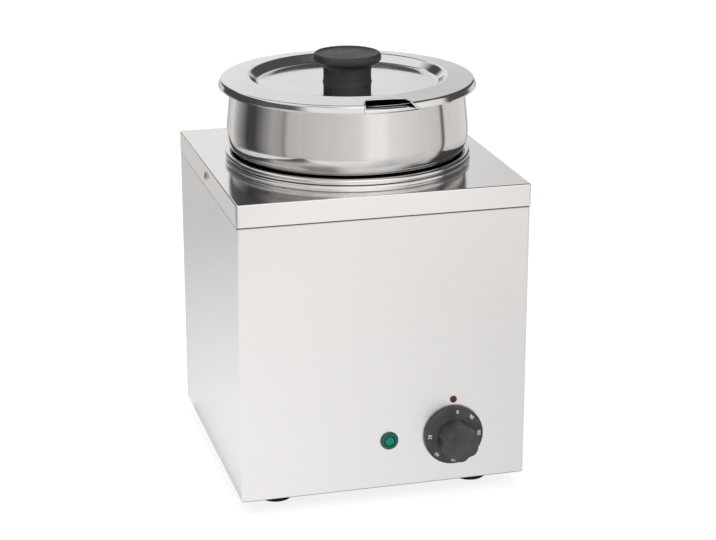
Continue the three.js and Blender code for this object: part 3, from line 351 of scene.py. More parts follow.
def fold(shape, edges, about, angle):
    """Turns edges about an upright line, which bends the sheet there."""
    made = bmesh.ops.spin(shape, geom=edges, cent=about, axis=(0, 0, 1), dvec=(0, 0, 0),
                          angle=angle, steps=5, use_merge=False, use_duplicate=False)
    return edges_in(made["geom_last"])


def upright_at(shape, x, y):
    """The upright edges at one place."""
    return [edge for edge in shape.edges
            if all(abs(vert.co.x - x) < 0.01 and abs(vert.co.y - y) < 0.01 for vert in edge.verts)]


def step_in(shape, inset=0.9, low=254.0, high=254.7):
    """Bends the top of the sheets inwards, where the cap's skirt goes over them."""
    for height in (low, high):
        bmesh.ops.bisect_plane(shape, geom=shape.verts[:] + shape.edges[:] + shape.faces[:],
                               plane_co=(0, 0, height), plane_no=(0, 0, 1))
    factor = (sheet_face - inset) / sheet_face
    bmesh.ops.scale(shape, vec=(factor, factor, 1),
                    verts=[vert for vert in shape.verts if vert.co.z > high - 0.01])


def keep_flat(shape):
    """Ends the smooth shading where a flat panel meets its bend, so that it reflects as flat."""
    shape.normal_update()
    for edge in shape.edges:
        if len(edge.link_faces) == 2 and edge.calc_face_angle() > math.radians(2):
            if any(max(abs(value) for value in face.normal) > 0.99999 for face in edge.link_faces):
                edge.smooth = False


wrap = bmesh.new()
inner = sheet_face - bend_radius
outline = add_outline(wrap, [(-inner, housing_low), (inner, housing_low),
                             (inner, housing_high), (-inner, housing_high)])
for radius, x, z in front_holes:
    outline += add_hole(wrap, radius, x, z)
bmesh.ops.triangle_fill(wrap, use_beauty=True, edges=outline)
place_shape(wrap, (0, -sheet_face, 0), facing_front)
for side in (-1, 1):
    corner = fold(wrap, upright_at(wrap, side * inner, -sheet_face), (side * inner, -inner, 0),
                  side * math.pi / 2)
    wall = push(wrap, corner, (0, inner + flange_face - bend_radius, 0))
    corner = fold(wrap, wall, (side * inner, flange_face - bend_radius, 0), side * math.pi / 2)
    push(wrap, corner, (-side * return_flange, 0, 0))
bmesh.ops.remove_doubles(wrap, verts=wrap.verts[:], dist=0.0005)
step_in(wrap)
foot_edges = [edge for edge in wrap.edges if edge.is_boundary
              and all(abs(vert.co.z - housing_low) < 0.01
                      and vert.co.y < flange_face - bend_radius + 0.01 for vert in edge.verts)]
push(wrap, foot_edges, factor=(1 - lower_flange / sheet_face,
                               1 - lower_flange / (sheet_face + flange_face), 1),
     about=(0, flange_face, 0))
round_off(wrap, [edge for edge in foot_edges if edge.is_valid], 1.0, 3, "EDGES")
bmesh.ops.recalc_face_normals(wrap, faces=wrap.faces[:])
bmesh.ops.solidify(wrap, geom=wrap.faces[:], thickness=1.0)


def brushed(name, rough, flat_stretch=None):
    """Brushed stainless steel: long fine lines in the sheet's direction, with faint clouds.
    The lines on its flat top can have a stretch of their own."""
    colour = (0.9, 0.878, 0.865)
    finish, tree, shader = new_finish(name, colour, rough, 1.0)
    lines = grain(tree, (12, 12, 1800), 4.0)
    if flat_stretch:
        facing = add_node(tree, "ShaderNodeTexCoord").outputs["Normal"]
        parts = add_node(tree, "ShaderNodeSeparateXYZ", {"Vector": facing})
        steep = add_node(tree, "ShaderNodeMath", {0: parts.outputs["Z"]}, operation="ABSOLUTE")
        lines = add_node(tree, "ShaderNodeMix", {"Factor": steep.outputs[0], "A": lines,
                                                 "B": grain(tree, flat_stretch, 4.0)}).outputs["Result"]
    uneven_sheen(tree, shader, lines, rough - 0.03, rough + 0.03)
    shade = add_node(tree, "ShaderNodeMix", {"Factor": 0.35, "A": lines, "B": grain(tree, (9, 9, 9))})
    two_tone(tree, shader, shade.outputs["Result"], tuple(value * 0.97 for value in colour), colour)
    relief(tree, shader, lines, 0.000006)
    return finish


def tone_ramp(tree, value, stops, tint=(1.0, 1.0, 1.0)):
    """A tint in changing tones: stops of (value, tone)."""
    ramp = add_node(tree, "ShaderNodeValToRGB", {"Fac": value})
    elements = ramp.color_ramp.elements
    for position, tone in stops:
        elements.new(position).color = (*(tone * share for share in tint), 1.0)
    elements.remove(elements[0])
    elements.remove(elements[-1])
    return ramp.outputs["Color"]


def painted_shade_band(finish, low, high, stops):
    """Paints shade onto a material by height: stops of (share of the way from low to high, tone)."""
    tree = finish.node_tree
    shader = tree.nodes["Principled BSDF"]
    parts = add_node(tree, "ShaderNodeSeparateXYZ", {"Vector": on_piece(tree)})
    tones = tone_ramp(tree, between(tree, parts.outputs["Z"], 0.0, 1.0, low, high), stops)
    base = shader.inputs["Base Color"].links[0].from_socket
    product = add_node(tree, "ShaderNodeMix", {"Factor": 1.0, "A": base, "B": tones},
                       data_type="RGBA", blend_type="MULTIPLY")
    tree.links.new(product.outputs["Result"], shader.inputs["Base Color"])


# Painted shade: the steel's colour is darkened to thin lines of painted shadow at the lower edge and at
# the step under the cap's skirt.
panel_steel = brushed("brushed_panel_steel", 0.3)
painted_shade_band(panel_steel, 0.012, 0.256, ((0.006, 0.2), (0.011, 1.0), (0.989, 1.0), (0.993, 0.15)))
keep_flat(wrap)
add_piece("housing_sheet", wrap, panel_steel, "housing", "housing_steel", "housing_wrap")

# Rear panel: a flat sheet screwed to the return flanges, with five louvre slots near the top
# and a round hole for the cable gland.
gland_x, gland_z = 60, 45
slot_half_width, slot_height, lowest_slot, slot_pitch = 35, 4, 175.2, 12
rear_sheet = bmesh.new()
outline = add_outline(rear_sheet, [(-sheet_face, housing_low), (sheet_face, housing_low),
                                   (sheet_face, housing_high), (-sheet_face, housing_high)])
for index in range(5):
    low = lowest_slot + index * slot_pitch
    outline += add_outline(rear_sheet, [(-slot_half_width, low), (slot_half_width, low),
                                        (slot_half_width, low + slot_height),
                                        (-slot_half_width, low + slot_height)], 1.98)
outline += add_hole(rear_sheet, 8.0, -gland_x, gland_z)
for z in (rear_screw_low, rear_screw_high):
    for x in (-rear_screw_x, rear_screw_x):
        outline += add_hole(rear_sheet, 1.8, x, z, 16)
bmesh.ops.triangle_fill(rear_sheet, use_beauty=True, edges=outline)
place_shape(rear_sheet, (0, sheet_face, 0), facing_rear)
step_in(rear_sheet)
bmesh.ops.recalc_face_normals(rear_sheet, faces=rear_sheet.faces[:])
rear_sheet.normal_update()
if rear_sheet.faces[:][0].normal.y < 0:
    bmesh.ops.reverse_faces(rear_sheet, faces=rear_sheet.faces[:])
bmesh.ops.solidify(rear_sheet, geom=rear_sheet.faces[:], thickness=1.0)
keep_flat(rear_sheet)
add_piece("rear_sheet", rear_sheet, panel_steel, "housing", "housing_steel", "rear_panel")

# Heating parts under the well: an aluminium spreader, a sheathed element held up by a clamp
# cross, stud and nut, its ceramic terminals and the cut-out. They keep their CAD shapes.
spreader_aluminium = plated("spreader_aluminium", (0.55, 0.56, 0.57), (0.7, 0.71, 0.72), 0.45)
element_sheath, tree, shader = new_finish("element_sheath", (0.12, 0.115, 0.1), 0.5, 0.85)
two_tone(tree, shader, grain(tree, (55, 55, 55), 5.0), (0.07, 0.06, 0.045), (0.2, 0.18, 0.14))
uneven_sheen(tree, shader, grain(tree, (300, 300, 300), 4.0), 0.4, 0.65)
relief(tree, shader, grain(tree, (1500, 1500, 1500), 2.0), 0.00004)
terminal_ceramic = moulded("terminal_ceramic", (0.66, 0.63, 0.56), (0.78, 0.75, 0.69), 0.5, 2200, 0.00003)
control_plastic = moulded("control_plastic", (0.2, 0.2, 0.205), (0.27, 0.27, 0.275), 0.45, 1400, 0.00004)
refinish(spreader_aluminium, "heat_spreader")
refinish(element_sheath, "heating_element")
refinish(zinc_plating, "element_clamp", "clamp_stud", "clamp_nut", "basin_retaining_ring",
         "bulb_clip", "pilot_nut")
refinish(terminal_ceramic, "element_terminal_live", "element_terminal_neutral", "terminal_block")
refinish(control_plastic, "over_heat_limiter", "thermostat_body")

# Water basin: deep drawn and polished, it hangs in the cap by a rolled bead that lies on the
# cap's collar. An angle ring under the cap holds it up.
basin_floor, basin_inner, bead_radius, bead_height = 112.0, 99.7, 103.0, 279.5


def roll_line(centre_radius, centre_height, width, height, steps=14):
    """The points of a sheet edge rolled outwards, from its inner side over the top and under."""
    angles = [math.radians(180 - 315 * step / steps) for step in range(steps + 1)]
    return [(centre_radius + width * math.cos(angle), centre_height + height * math.sin(angle))
            for angle in angles]


def turned_polish(name, colour, rough, streak):
    """Polished stainless steel turned on a lathe: faint rings, soft streaks and wipe marks."""
    finish, tree, shader = new_finish(name, colour, rough, 1.0)
    centred = add_node(tree, "ShaderNodeMapping",
                       {"Vector": on_piece(tree), "Location": (0, -housing_shift.y / 1000, 0)})
    parts = add_node(tree, "ShaderNodeSeparateXYZ", {"Vector": centred.outputs["Vector"]})
    level = add_node(tree, "ShaderNodeCombineXYZ", {"X": parts.outputs["X"], "Y": parts.outputs["Y"]})
    reach = add_node(tree, "ShaderNodeVectorMath", {0: level.outputs["Vector"]}, operation="LENGTH")
    rings = add_node(tree, "ShaderNodeCombineXYZ", {"X": reach.outputs["Value"], "Z": parts.outputs["Z"]})
    turned = add_node(tree, "ShaderNodeTexNoise",
                      {"Vector": rings.outputs["Vector"], "Scale": 900.0, "Detail": 3.0})
    wipes = grain(tree, streak, 4.0)
    uneven_sheen(tree, shader, wipes, rough * 0.75, rough * 1.35)
    two_tone(tree, shader, wipes, tuple(value * 0.93 for value in colour), colour)
    relief(tree, shader, turned.outputs["Fac"], 0.000004)
    return finish


bright_steel = turned_polish("bright_basin_steel", (0.84, 0.825, 0.81), 0.12, (40, 40, 25))
basin = turn_profile([(0, basin_floor), (basin_inner, basin_floor), (basin_inner, bead_height - 2)]
                     + roll_line(bead_radius, bead_height, 3.3, 2.8), 128, {1: 14.0})
bmesh.ops.solidify(basin, geom=basin.faces[:], thickness=0.8)
add_piece("basin_shell", basin, bright_steel, "housing", "polished_steel", "water_basin")

# Cap: the housing's top, pressed from one sheet with a skirt all round and a raised collar
# round the well's hole. Three screws through its skirt hold it on the housing.
cap_low, cap_fold, plate_top = 255.0, 1.4, 274.0
collar_line = [(106.8, 0.0), (106.2, 0.12), (105.85, 0.5), (105.8, 1.0), (105.8, 1.5),
               (105.55, 2.05), (105.0, 2.35), (104.4, 2.4), (100.9, 2.4)]
cap = bmesh.new()
skirt = add_outline(cap, [(-cap_face, -cap_face), (cap_face, -cap_face),
                          (cap_face, cap_face), (-cap_face, cap_face)], 1.8, 5)
bmesh.ops.translate(cap, vec=(0, 0, cap_low), verts=cap.verts[:])
skirt = push(cap, skirt, (0, 0, plate_top - cap_low - cap_fold))
reached, risen = cap_face, 0.0
for step in range(1, 6):
    angle = math.pi / 2 * step / 5
    inset = cap_face - cap_fold * (1 - math.cos(angle))
    rise = cap_fold * math.sin(angle)
    skirt = push(cap, skirt, (0, 0, rise - risen), (inset / reached, inset / reached, 1))
    reached, risen = inset, rise
hole = add_hole(cap, collar_line[0][0], 0, 0, 128)
bmesh.ops.translate(cap, vec=(0, 0, plate_top), verts=list({vert for edge in hole for vert in edge.verts}))
bmesh.ops.triangle_fill(cap, use_beauty=True, edges=skirt + hole)
for (radius, height), (next_radius, next_height) in zip(collar_line, collar_line[1:]):
    factor = next_radius / radius
    hole = push(cap, hole, (0, 0, next_height - height), (factor, factor, 1))
bmesh.ops.recalc_face_normals(cap, faces=cap.faces[:])
bmesh.ops.solidify(cap, geom=cap.faces[:], thickness=1.0)
keep_flat(cap)
cap_steel = brushed("brushed_cap_steel", 0.14, (12, 1800, 12))
add_piece("cap_sheet", cap, cap_steel, "housing", "housing_steel", "top_cover")

# Pot: the round insert that holds the food, drawn from one disc and mirror polished. It hangs
# by a step on the basin's bead, swells above it and ends in a rim rolled outwards.
pot_inner, pot_floor, belly_inner, neck_inner, step_inner = 96.2, 127.8, 103.4, 100.6, 100.0
swell = interpolate_bezier((step_inner + 0.3, 0, plate_top + 11.2), (101.5, 0, plate_top + 13.1),
                           (belly_inner, 0, plate_top + 16.5), (belly_inner, 0, plate_top + 26), 12)
neck = interpolate_bezier((belly_inner, 0, plate_top + 26), (belly_inner, 0, plate_top + 34),
                          (neck_inner, 0, plate_top + 52), (neck_inner, 0, plate_top + 62), 10)
pot_profile = ([(0, pot_floor), (pot_inner, pot_floor), (pot_inner, plate_top + 9.7),
                (step_inner, plate_top + 10.3)]
               + [(point[0], point[2]) for point in swell + neck[1:]]
               + roll_line(104.0, plate_top + 65.0, 3.4, 2.6))
mirror_steel = turned_polish("mirror_pot_steel", (0.85, 0.833, 0.818), 0.085, (110, 110, 9))
# Painted shade: the steel is dark below the step, where the pot hangs in the collar, as a painted shadow,
# and a lighter painted shade runs up the shoulder.
painted_shade_band(mirror_steel, 0.25, 0.3,
            ((0.2, 1.0), (0.4, 0.1), (0.672, 0.1), (0.68, 0.55), (0.82, 0.66), (1.0, 1.0)))
pot = turn_profile(pot_profile, 160, {1: 15.2, 2: 1.6, 3: 0.6})
bmesh.ops.solidify(pot, geom=pot.faces[:], thickness=0.8)
add_piece("pot_shell", pot, mirror_steel, "pot", "polished_steel", "pot_insert")

# Lid: a spun plate with a recessed middle and a rolled-down edge, notched for the ladle. The
# notch is cut after spinning, with one end that slants, and its edge is hemmed.
lid_floor, lip_radius, lip_height = 340.3, 85.0, 347.6
lid = turn_profile([(0, lid_floor), (77.5, lid_floor), (lip_radius, lip_height), (108.6, 344.7),
                    (110.6, 339.5), (110.6, 338.6)], 160, {1: 1.8, 2: 1.6, 3: 1.4})
bmesh.ops.solidify(lid, geom=lid.faces[:], thickness=0.8)
facing_notch = Matrix.Rotation(math.radians(-86), 3, "Z")
cutter_low, cutter_slant, slant_height, straight_height = 320, 30, 24, 16
cutter = bmesh.new()
corners = [cutter.verts.new((x, y, 0.0)) for x, y in ((93.0, -16.2), (103.6, -20.2), (112, -22.5),
                                                      (112, 22.5), (103.9, 19.0), (95.5, 16.2))]
cutter.faces.new(corners)
round_off(cutter, [corners[0], corners[5]], 3.0, 6)
top = cutter.faces[:]
slanted = [vert for vert in cutter.verts if vert.co.x > 100 and vert.co.y > 0]
for rise in (slant_height, straight_height):
    made = bmesh.ops.extrude_face_region(cutter, geom=top)["geom"]
    bmesh.ops.translate(cutter, vec=(0, 0, rise), verts=verts_in(made))
    top = [item for item in made if isinstance(item, bmesh.types.BMFace)]
bmesh.ops.translate(cutter, vec=(0, cutter_slant, 0), verts=slanted)
bmesh.ops.recalc_face_normals(cutter, faces=cutter.faces[:])
place_shape(cutter, (0, 0, cutter_low), facing_notch)


def cut_away(shape, tool):
    """The shape without the tool's volume."""
    parts = []
    for source in (shape, tool):
        mesh = bpy.data.meshes.new("cutting")
        source.to_mesh(mesh)
        source.free()
        parts.append(link_object("cutting", mesh))
    cutting = parts[0].modifiers.new("cutting", "BOOLEAN")
    cutting.operation = "DIFFERENCE"
    cutting.object = parts[1]
    ready = parts[0].evaluated_get(bpy.context.evaluated_depsgraph_get())
    result = bmesh.new()
    result.from_mesh(ready.to_mesh())
    ready.to_mesh_clear()
    for part in parts:
        mesh = part.data
        bpy.data.objects.remove(part)
        bpy.data.meshes.remove(mesh)
    return result


lid_steel = turned_polish("mirror_lid_steel", (0.84, 0.825, 0.81), 0.1, (26, 26, 26))
add_piece("lid_sheet", cut_away(lid, cutter), lid_steel, "lid", "polished_steel", "lid_plate")

# Notch hem: the sheet's edge is rolled to a thin bead all round the notch, from the bottom of
# the lid's edge on one side over the flange to the other.
flange_slope = 0.1226
hem_places = [(110.2, -21.2, 338.9), (109.9, -21.4, 341.2), (109.1, -21.0, 343.4), (107.2, -20.6, 344.8),
              (101.0, -19.0, None), (95.9, -15.6, None), (94.3, -10, None), (94.6, 0, None),
              (96.1, 11, None), (98.2, 16.2, None), (103, 18.1, None), (107.2, 19.2, 344.8),
              (109.1, 20.6, 343.4), (109.9, 22.8, 341.2), (110.2, 26.4, 338.9)]


def add_curve_mesh(shape, curve, place=Matrix.Identity(4)):
    """Adds a curve's or a text's mesh to a shape, and deletes the curve."""
    carrier = link_object(curve.name, curve)
    ready = carrier.evaluated_get(bpy.context.evaluated_depsgraph_get())
    mesh = ready.to_mesh()
    mesh.transform(place)
    shape.from_mesh(mesh)
    ready.to_mesh_clear()
    bpy.data.objects.remove(carrier)
    bpy.data.curves.remove(curve)


hem_line = bpy.data.curves.new("notch_hem", "CURVE")
hem_line.dimensions = "3D"
hem_line.bevel_depth = 0.75
hem_line.bevel_resolution = 3
hem_line.use_fill_caps = True
line = hem_line.splines.new("BEZIER")
line.bezier_points.add(len(hem_places) - 1)
for point, (radius, y, height) in zip(line.bezier_points, hem_places):
    on_flange = lip_height - flange_slope * (radius - lip_radius) - 0.4
    point.co = (math.sqrt(radius ** 2 - y ** 2), y, height or on_flange)
    point.handle_left_type = point.handle_right_type = "AUTO"
notch_hem = bmesh.new()
add_curve_mesh(notch_hem, hem_line)
add_piece("notch_hem", place_shape(notch_hem, turn=facing_notch), lid_steel, "lid", "polished_steel")

# Lid knob: a black moulded mushroom with a dished top, screwed on from under the lid. The
# screw's broad flange spreads its load on the thin plate.
knob_curves = [((20.9, 1.0), (20.6, 2.2), (20.6, 4.0)),
               ((20.5, 9.0), (20.4, 12.0), (21.6, 14.4)),
               ((22.8, 16.8), (25.4, 17.6), (27.4, 18.4)),
               ((28.9, 19.0), (29.4, 20.0), (29.4, 21.2)),
               ((29.4, 22.8), (28.6, 25.6), (26.6, 25.6)),
               ((25.4, 25.6), (25.2, 24.5), (23.4, 24.4)),
               ((16.0, 24.2), (8.0, 24.7), (0, 24.8))]
knob_profile = [(0, 0), (21.4, 0)]
for leaving, arriving, end in knob_curves:
    points = interpolate_bezier((*knob_profile[-1], 0), (*leaving, 0), (*arriving, 0), (*end, 0), 7)
    knob_profile += [(point[0], point[1]) for point in points[1:]]
knob_profile[-1] = (0, knob_profile[-1][1])
black_knob_plastic = moulded("black_knob_plastic", (0.012, 0.012, 0.012), (0.024, 0.024, 0.025), 0.48,
                             1700, 0.00005)
lid_knob = place_shape(turn_profile(knob_profile, 96), (0, 0, lid_floor))
add_piece("lid_knob_moulding", lid_knob, black_knob_plastic, "lid", "black_plastic", "lid_knob")
refinish(zinc_plating, "lid_knob_screw")

# Control knob: a moulded skirt that carries the numbers, with a six-lobed grip on it. It is
# pushed on the thermostat's flatted brass shaft. Its place is measured from the CAD's panel
# face, which lies 0.8 mm behind the sheet's face here.
cad_face = 123.7
dial_place = (dial_x, -cad_face, dial_z)
grip_radius, lobe_depth, grip_low, grip_rise = 16.2, 1.9, 7.0, 20.0
dial = turn_profile([(0, 3.8), (23.4, 3.8), (23.4, 1.4), (25.9, 1.4), (25.9, 4.9), (16.0, 7.2),
                     (0, 7.2)], 96, {3: 0.5, 4: 0.9})
skirt_faces = set(dial.faces)
made = bmesh.ops.create_circle(dial, cap_ends=True, radius=grip_radius, segments=108)
for vert in made["verts"]:
    angle = math.atan2(vert.co.x, vert.co.y)
    reach = grip_radius - lobe_depth * math.sin(3 * angle) ** 4
    vert.co = Vector((reach * math.sin(angle), reach * math.cos(angle), grip_low))
grip_face = [face for face in dial.faces if face not in skirt_faces]
top_verts = verts_in(bmesh.ops.extrude_face_region(dial, geom=grip_face)["geom"])
bmesh.ops.translate(dial, vec=(0, 0, grip_rise), verts=top_verts)
bmesh.ops.scale(dial, vec=(0.97, 0.97, 1), verts=top_verts)
top_edges = [edge for edge in dial.edges
             if all(vert.co.z > grip_low + grip_rise - 0.1 for vert in edge.verts)]
round_off(dial, top_edges, 1.3, 5, "EDGES")
bmesh.ops.recalc_face_normals(dial, faces=dial.faces[:])
dial_plastic = moulded("dial_plastic", (0.02, 0.02, 0.02), (0.042, 0.042, 0.043), 0.44, 1700, 0.00005)
add_piece("control_knob_moulding", place_shape(dial, dial_place, facing_front), dial_plastic,
          "knob", "black_plastic", "control_knob")
brass = plated("turned_brass", (0.5, 0.34, 0.12), (0.66, 0.48, 0.2), 0.32)
refinish(brass, "thermostat_shaft", "earth_stud", "earth_nut")

# Numbers: white figures printed on the dial's sloping skirt, from 0 over 30 up to 90, each
# with its foot towards the grip. Their angles are in degrees clockwise from the top.
figure_angles = {"0": 6, "30": -87, "40": -135, "50": -179, "60": 150, "70": 120, "80": 88, "90": 43}
figures = bmesh.new()
for label, angle in figure_angles.items():
    text = bpy.data.curves.new("figure", "FONT")
    text.body = label
    text.size = 4.5
    text.align_x = "CENTER"
    text.align_y = "CENTER"
    text.extrude = 0.04
    text.resolution_u = 4
    add_curve_mesh(figures, text, Matrix.Rotation(math.radians(-angle), 4, "Z")
                   @ Matrix.Translation((0, 21.7, 5.87))
                   @ Matrix.Rotation(math.radians(-13.0), 4, "X"))
white_print = moulded("white_print", (0.62, 0.62, 0.6), (0.78, 0.78, 0.76), 0.5, 2500, 0.00001)
add_piece("dial_numbers", place_shape(figures, dial_place, facing_front), white_print,
          "knob", "ceramic")

# Pilot lamp: a green plastic barrel pushed through the panel, with a domed lens in it and a
# nut behind the panel. Above the dial is a red moulded marker.
lamp_place = (lamp_x, -sheet_face, dial_z)
green_plastic = moulded("green_bezel_plastic", (0.0, 0.05, 0.034), (0.001, 0.075, 0.05), 0.3, 900, 0.00002)
barrel = turn_profile([(4.6, -10), (4.6, 2.4), (6.9, 2.4), (7.9, 1.0), (7.9, 0), (5.8, 0),
                       (5.8, -22), (0, -22)], 64, {1: 0.4, 2: 0.7, 3: 0.5})
add_piece("pilot_bezel", place_shape(barrel, lamp_place, facing_front), green_plastic,
          "housing", "green_plastic", "pilot_lamp")
green_lens, tree, shader = new_finish("green_lens_plastic", (0.004, 0.2, 0.14), 0.16)
shader.inputs["Specular IOR Level"].default_value = 0.12
two_tone(tree, shader, grain(tree, (500, 500, 500), 2.0), (0.0, 0.13, 0.09), (0.001, 0.23, 0.165))
relief(tree, shader, grain(tree, (900, 900, 900), 1.0), 0.00008)
lens = turn_profile([(0, -12), (4.0, -12), (4.0, 2.2), (3.5, 2.75), (2.2, 3.05), (0, 3.15)], 48)
add_piece("pilot_lens_dome", place_shape(lens, lamp_place, facing_front), green_lens,
          "housing", "green_lens", "pilot_lens")
red_plastic = moulded("red_marker_plastic", (0.055, 0.001, 0.004), (0.1, 0.002, 0.007), 0.3, 900, 0.00002)
marker = turn_profile([(0, -4), (1.7, -4), (1.7, 0), (3.1, 0), (3.0, 0.5), (2.4, 0.85), (1.3, 1.05),
                       (0, 1.1)], 48)
add_piece("index_marker_dome", place_shape(marker, (dial_x, -sheet_face, marker_z), facing_front),
          red_plastic, "housing", "red_plastic", "index_marker")

# Cable gland: black moulded, with a hexagon, a domed sealing nut with grip ribs and a bore
# that the supply cable goes through. Its nut is inside the rear panel.
rib_count = 12
gland_plastic = moulded("gland_plastic", (0.01, 0.01, 0.01), (0.017, 0.017, 0.017), 0.5, 1500, 0.00006)
gland = turn_profile([(4.6, -11), (7.7, -11), (7.7, 4.8), (9.0, 4.8), (9.0, 11.6), (7.0, 14.0),
                      (4.6, 14.0)], 48, {4: 1.6}, closed=True)
bmesh.ops.create_cone(gland, cap_ends=True, cap_tris=False, segments=6, radius1=11.0, radius2=11.0,
                      depth=4.2, matrix=Matrix.Translation((0, 0, 2.9)))
for index in range(rib_count):
    rib = bmesh.ops.create_cube(gland, size=1.0)["verts"]
    bmesh.ops.scale(gland, vec=(1.6, 1.5, 6.0), verts=rib)
    bmesh.ops.translate(gland, vec=(8.8, 0, 8.2), verts=rib)
    bmesh.ops.rotate(gland, cent=(0, 0, 0), verts=rib,
                     matrix=Matrix.Rotation(2 * math.pi * index / rib_count, 3, "Z"))
add_piece("cable_gland_moulding", place_shape(gland, (gland_x, cad_face, gland_z), facing_rear),
          gland_plastic, "housing", "black_plastic", "cable_gland")
refinish(gland_plastic, "gland_nut")

# Sensing bulb, capillary and wiring inside the housing: copper tube, and insulated leads that
# run from terminal to terminal. They keep their CAD shapes.
copper = plated("copper_tube", (0.5, 0.24, 0.14), (0.68, 0.36, 0.22), 0.32)
refinish(copper, "sensing_bulb", "capillary_tube")
brown_insulation = moulded("brown_insulation", (0.1, 0.05, 0.025), (0.14, 0.07, 0.035), 0.5, 1500, 0.00003)
blue_insulation = moulded("blue_insulation", (0.03, 0.08, 0.25), (0.045, 0.11, 0.33), 0.5, 1500, 0.00003)
earth_insulation, tree, shader = new_finish("earth_insulation", (0.6, 0.6, 0.05), 0.5)
stripes = add_node(tree, "ShaderNodeTexWave", {"Vector": on_piece(tree), "Scale": 90.0},
                   bands_direction="DIAGONAL")
two_tone(tree, shader, stripes.outputs["Fac"], (0.03, 0.22, 0.03), (0.62, 0.6, 0.04))
relief(tree, shader, grain(tree, (1500, 1500, 1500), 2.0), 0.00003)
refinish(brown_insulation, "lead_live", "lead_switched", "lead_element", "lead_lamp_live")
refinish(blue_insulation, "lead_neutral", "lead_lamp_neutral")
refinish(earth_insulation, "lead_earth")

# Floor: pale paper that is near white to the camera and keeps the object's shadow. The steel
# mirrors a tone of its own in it, darker to the right and behind, with a painted shadow under the housing.
floor_shape = bmesh.new()
bmesh.ops.create_grid(floor_shape, x_segments=1, y_segments=1, size=8.0)


def empty_tree(owner):
    """The nodes of a material or world, without those that it starts with."""
    owner.use_nodes = True
    owner.node_tree.nodes.clear()
    return owner.node_tree


def maths(tree, operation, *values):
    """The result of a sum on one or two values."""
    return add_node(tree, "ShaderNodeMath", dict(enumerate(values)), operation=operation).outputs[0]


def along(tree, ray, direction):
    """How far a vector reaches in a direction."""
    return add_node(tree, "ShaderNodeVectorMath", {0: ray, 1: direction},
                    operation="DOT_PRODUCT").outputs["Value"]


paper = bpy.data.materials.new("floor_paper")
tree = empty_tree(paper)
place = on_piece(tree)
parts = add_node(tree, "ShaderNodeSeparateXYZ", {"Vector": place}).outputs
rightward = between(tree, along(tree, place, (0.965, 0.26, 0.0)), 1.0, 0.76, -0.16, 0.12)
rearward = between(tree, parts["Y"], 1.0, 0.68, 0.1, 0.7)
off_middle = maths(tree, "MAXIMUM", maths(tree, "ABSOLUTE", parts["X"]),
                   maths(tree, "ABSOLUTE", maths(tree, "SUBTRACT", parts["Y"], housing_shift.y / 1000)))
# Painted shadow: the tone that the steel mirrors falls dark under the housing's footprint.
outside_painted_shadow = between(tree, off_middle, 0.05, 1.0, 0.122, 0.14)
level = maths(tree, "MULTIPLY", maths(tree, "MULTIPLY", rightward, rearward), outside_painted_shadow)
matt = add_node(tree, "ShaderNodeBsdfDiffuse", {"Color": (0.86, 0.86, 0.86, 1.0)})
white = add_node(tree, "ShaderNodeEmission", {"Strength": 1.1})
glow = add_node(tree, "ShaderNodeEmission", {"Strength": level})
rays = add_node(tree, "ShaderNodeLightPath").outputs
seen = add_node(tree, "ShaderNodeMixShader", {0: maths(tree, "MULTIPLY", rays["Is Camera Ray"], 0.76),
                                              1: matt.outputs[0], 2: white.outputs[0]})
mirrored = add_node(tree, "ShaderNodeMixShader", {0: rays["Is Glossy Ray"], 1: seen.outputs[0],
                                                  2: glow.outputs[0]})
add_node(tree, "ShaderNodeOutputMaterial", {"Surface": mirrored.outputs[0]})
studio_floor = link_object("studio_floor", make_mesh("studio_floor", floor_shape, paper))

# Reflector: a low ring of card round the object, open behind it, that only reflections see.
# It carries light and dark fields, as the panels and flags of a studio do. Bearings are in
# degrees from the camera's side, and those to its right are above zero.
card_height, ring_opening = 0.34, 60
ring_tones = [(-150, 0.64), (-134, 0.75), (-124, 0.42), (-112, 0.2), (-104, 0.06), (-93, 0.06),
              (-86, 0.16), (-72, 0.4), (-62, 0.38), (-59, 0.25), (-54, 0.54), (-16, 0.64), (12, 0.76),
              (21, 0.97), (32, 0.97), (42, 0.84), (60, 0.74), (94, 0.62), (96.5, 0.1), (98.5, 0.1),
              (101, 0.7), (150, 0.75)]
ring_shape = bmesh.new()
low = ring_shape.verts.new((-0.236, -0.877, 0.0))
high = ring_shape.verts.new((-0.236, -0.877, card_height))
edge = ring_shape.edges.new((low, high))
bmesh.ops.rotate(ring_shape, cent=(0, 0, 0), verts=[low, high],
                 matrix=Matrix.Rotation(math.radians(ring_opening / 2 - 180), 3, "Z"))
bmesh.ops.spin(ring_shape, geom=[low, high, edge], cent=(0, 0, 0), axis=(0, 0, 1), dvec=(0, 0, 0),
               angle=math.radians(360 - ring_opening), steps=100, use_merge=False, use_duplicate=False)
card = bpy.data.materials.new("reflector_card")
tree = empty_tree(card)
turned = add_node(tree, "ShaderNodeMapping", {"Vector": on_piece(tree),
                                              "Rotation": (0.0, 0.0, math.radians(105.08))})
parts = add_node(tree, "ShaderNodeSeparateXYZ", {"Vector": turned.outputs["Vector"]}).outputs
bearing = maths(tree, "ARCTAN2", parts["Y"], parts["X"])
fields = tone_ramp(tree, between(tree, bearing, 0.0, 1.0, -math.pi, math.pi),
                   [((degrees + 180) / 360, tone) for degrees, tone in ring_tones], (1.0, 0.975, 0.96))
shine = add_node(tree, "ShaderNodeEmission", {"Color": fields})
add_node(tree, "ShaderNodeOutputMaterial", {"Surface": shine.outputs[0]})
reflector = link_object("reflector_ring", make_mesh("reflector_ring", ring_shape, card))
reflector.visible_camera = False
reflector.visible_diffuse = False
reflector.visible_transmission = False
reflector.visible_shadow = False

# Room: white to the camera. Reflections see pale and dark stretches of wall behind the object,
# a pale wall with a light panel on the camera's side, a white ceiling, and flags that shape
# the pot and the lid. Heights are sines of a ray's slope.
world = bpy.data.worlds.new("studio_world")
bpy.context.scene.world = world
tree = empty_tree(world)
ray = add_node(tree, "ShaderNodeTexCoord").outputs["Generated"]
to_camera, to_right = Vector((-0.26, -0.965, 0.0)), Vector((0.965, -0.26, 0.0))


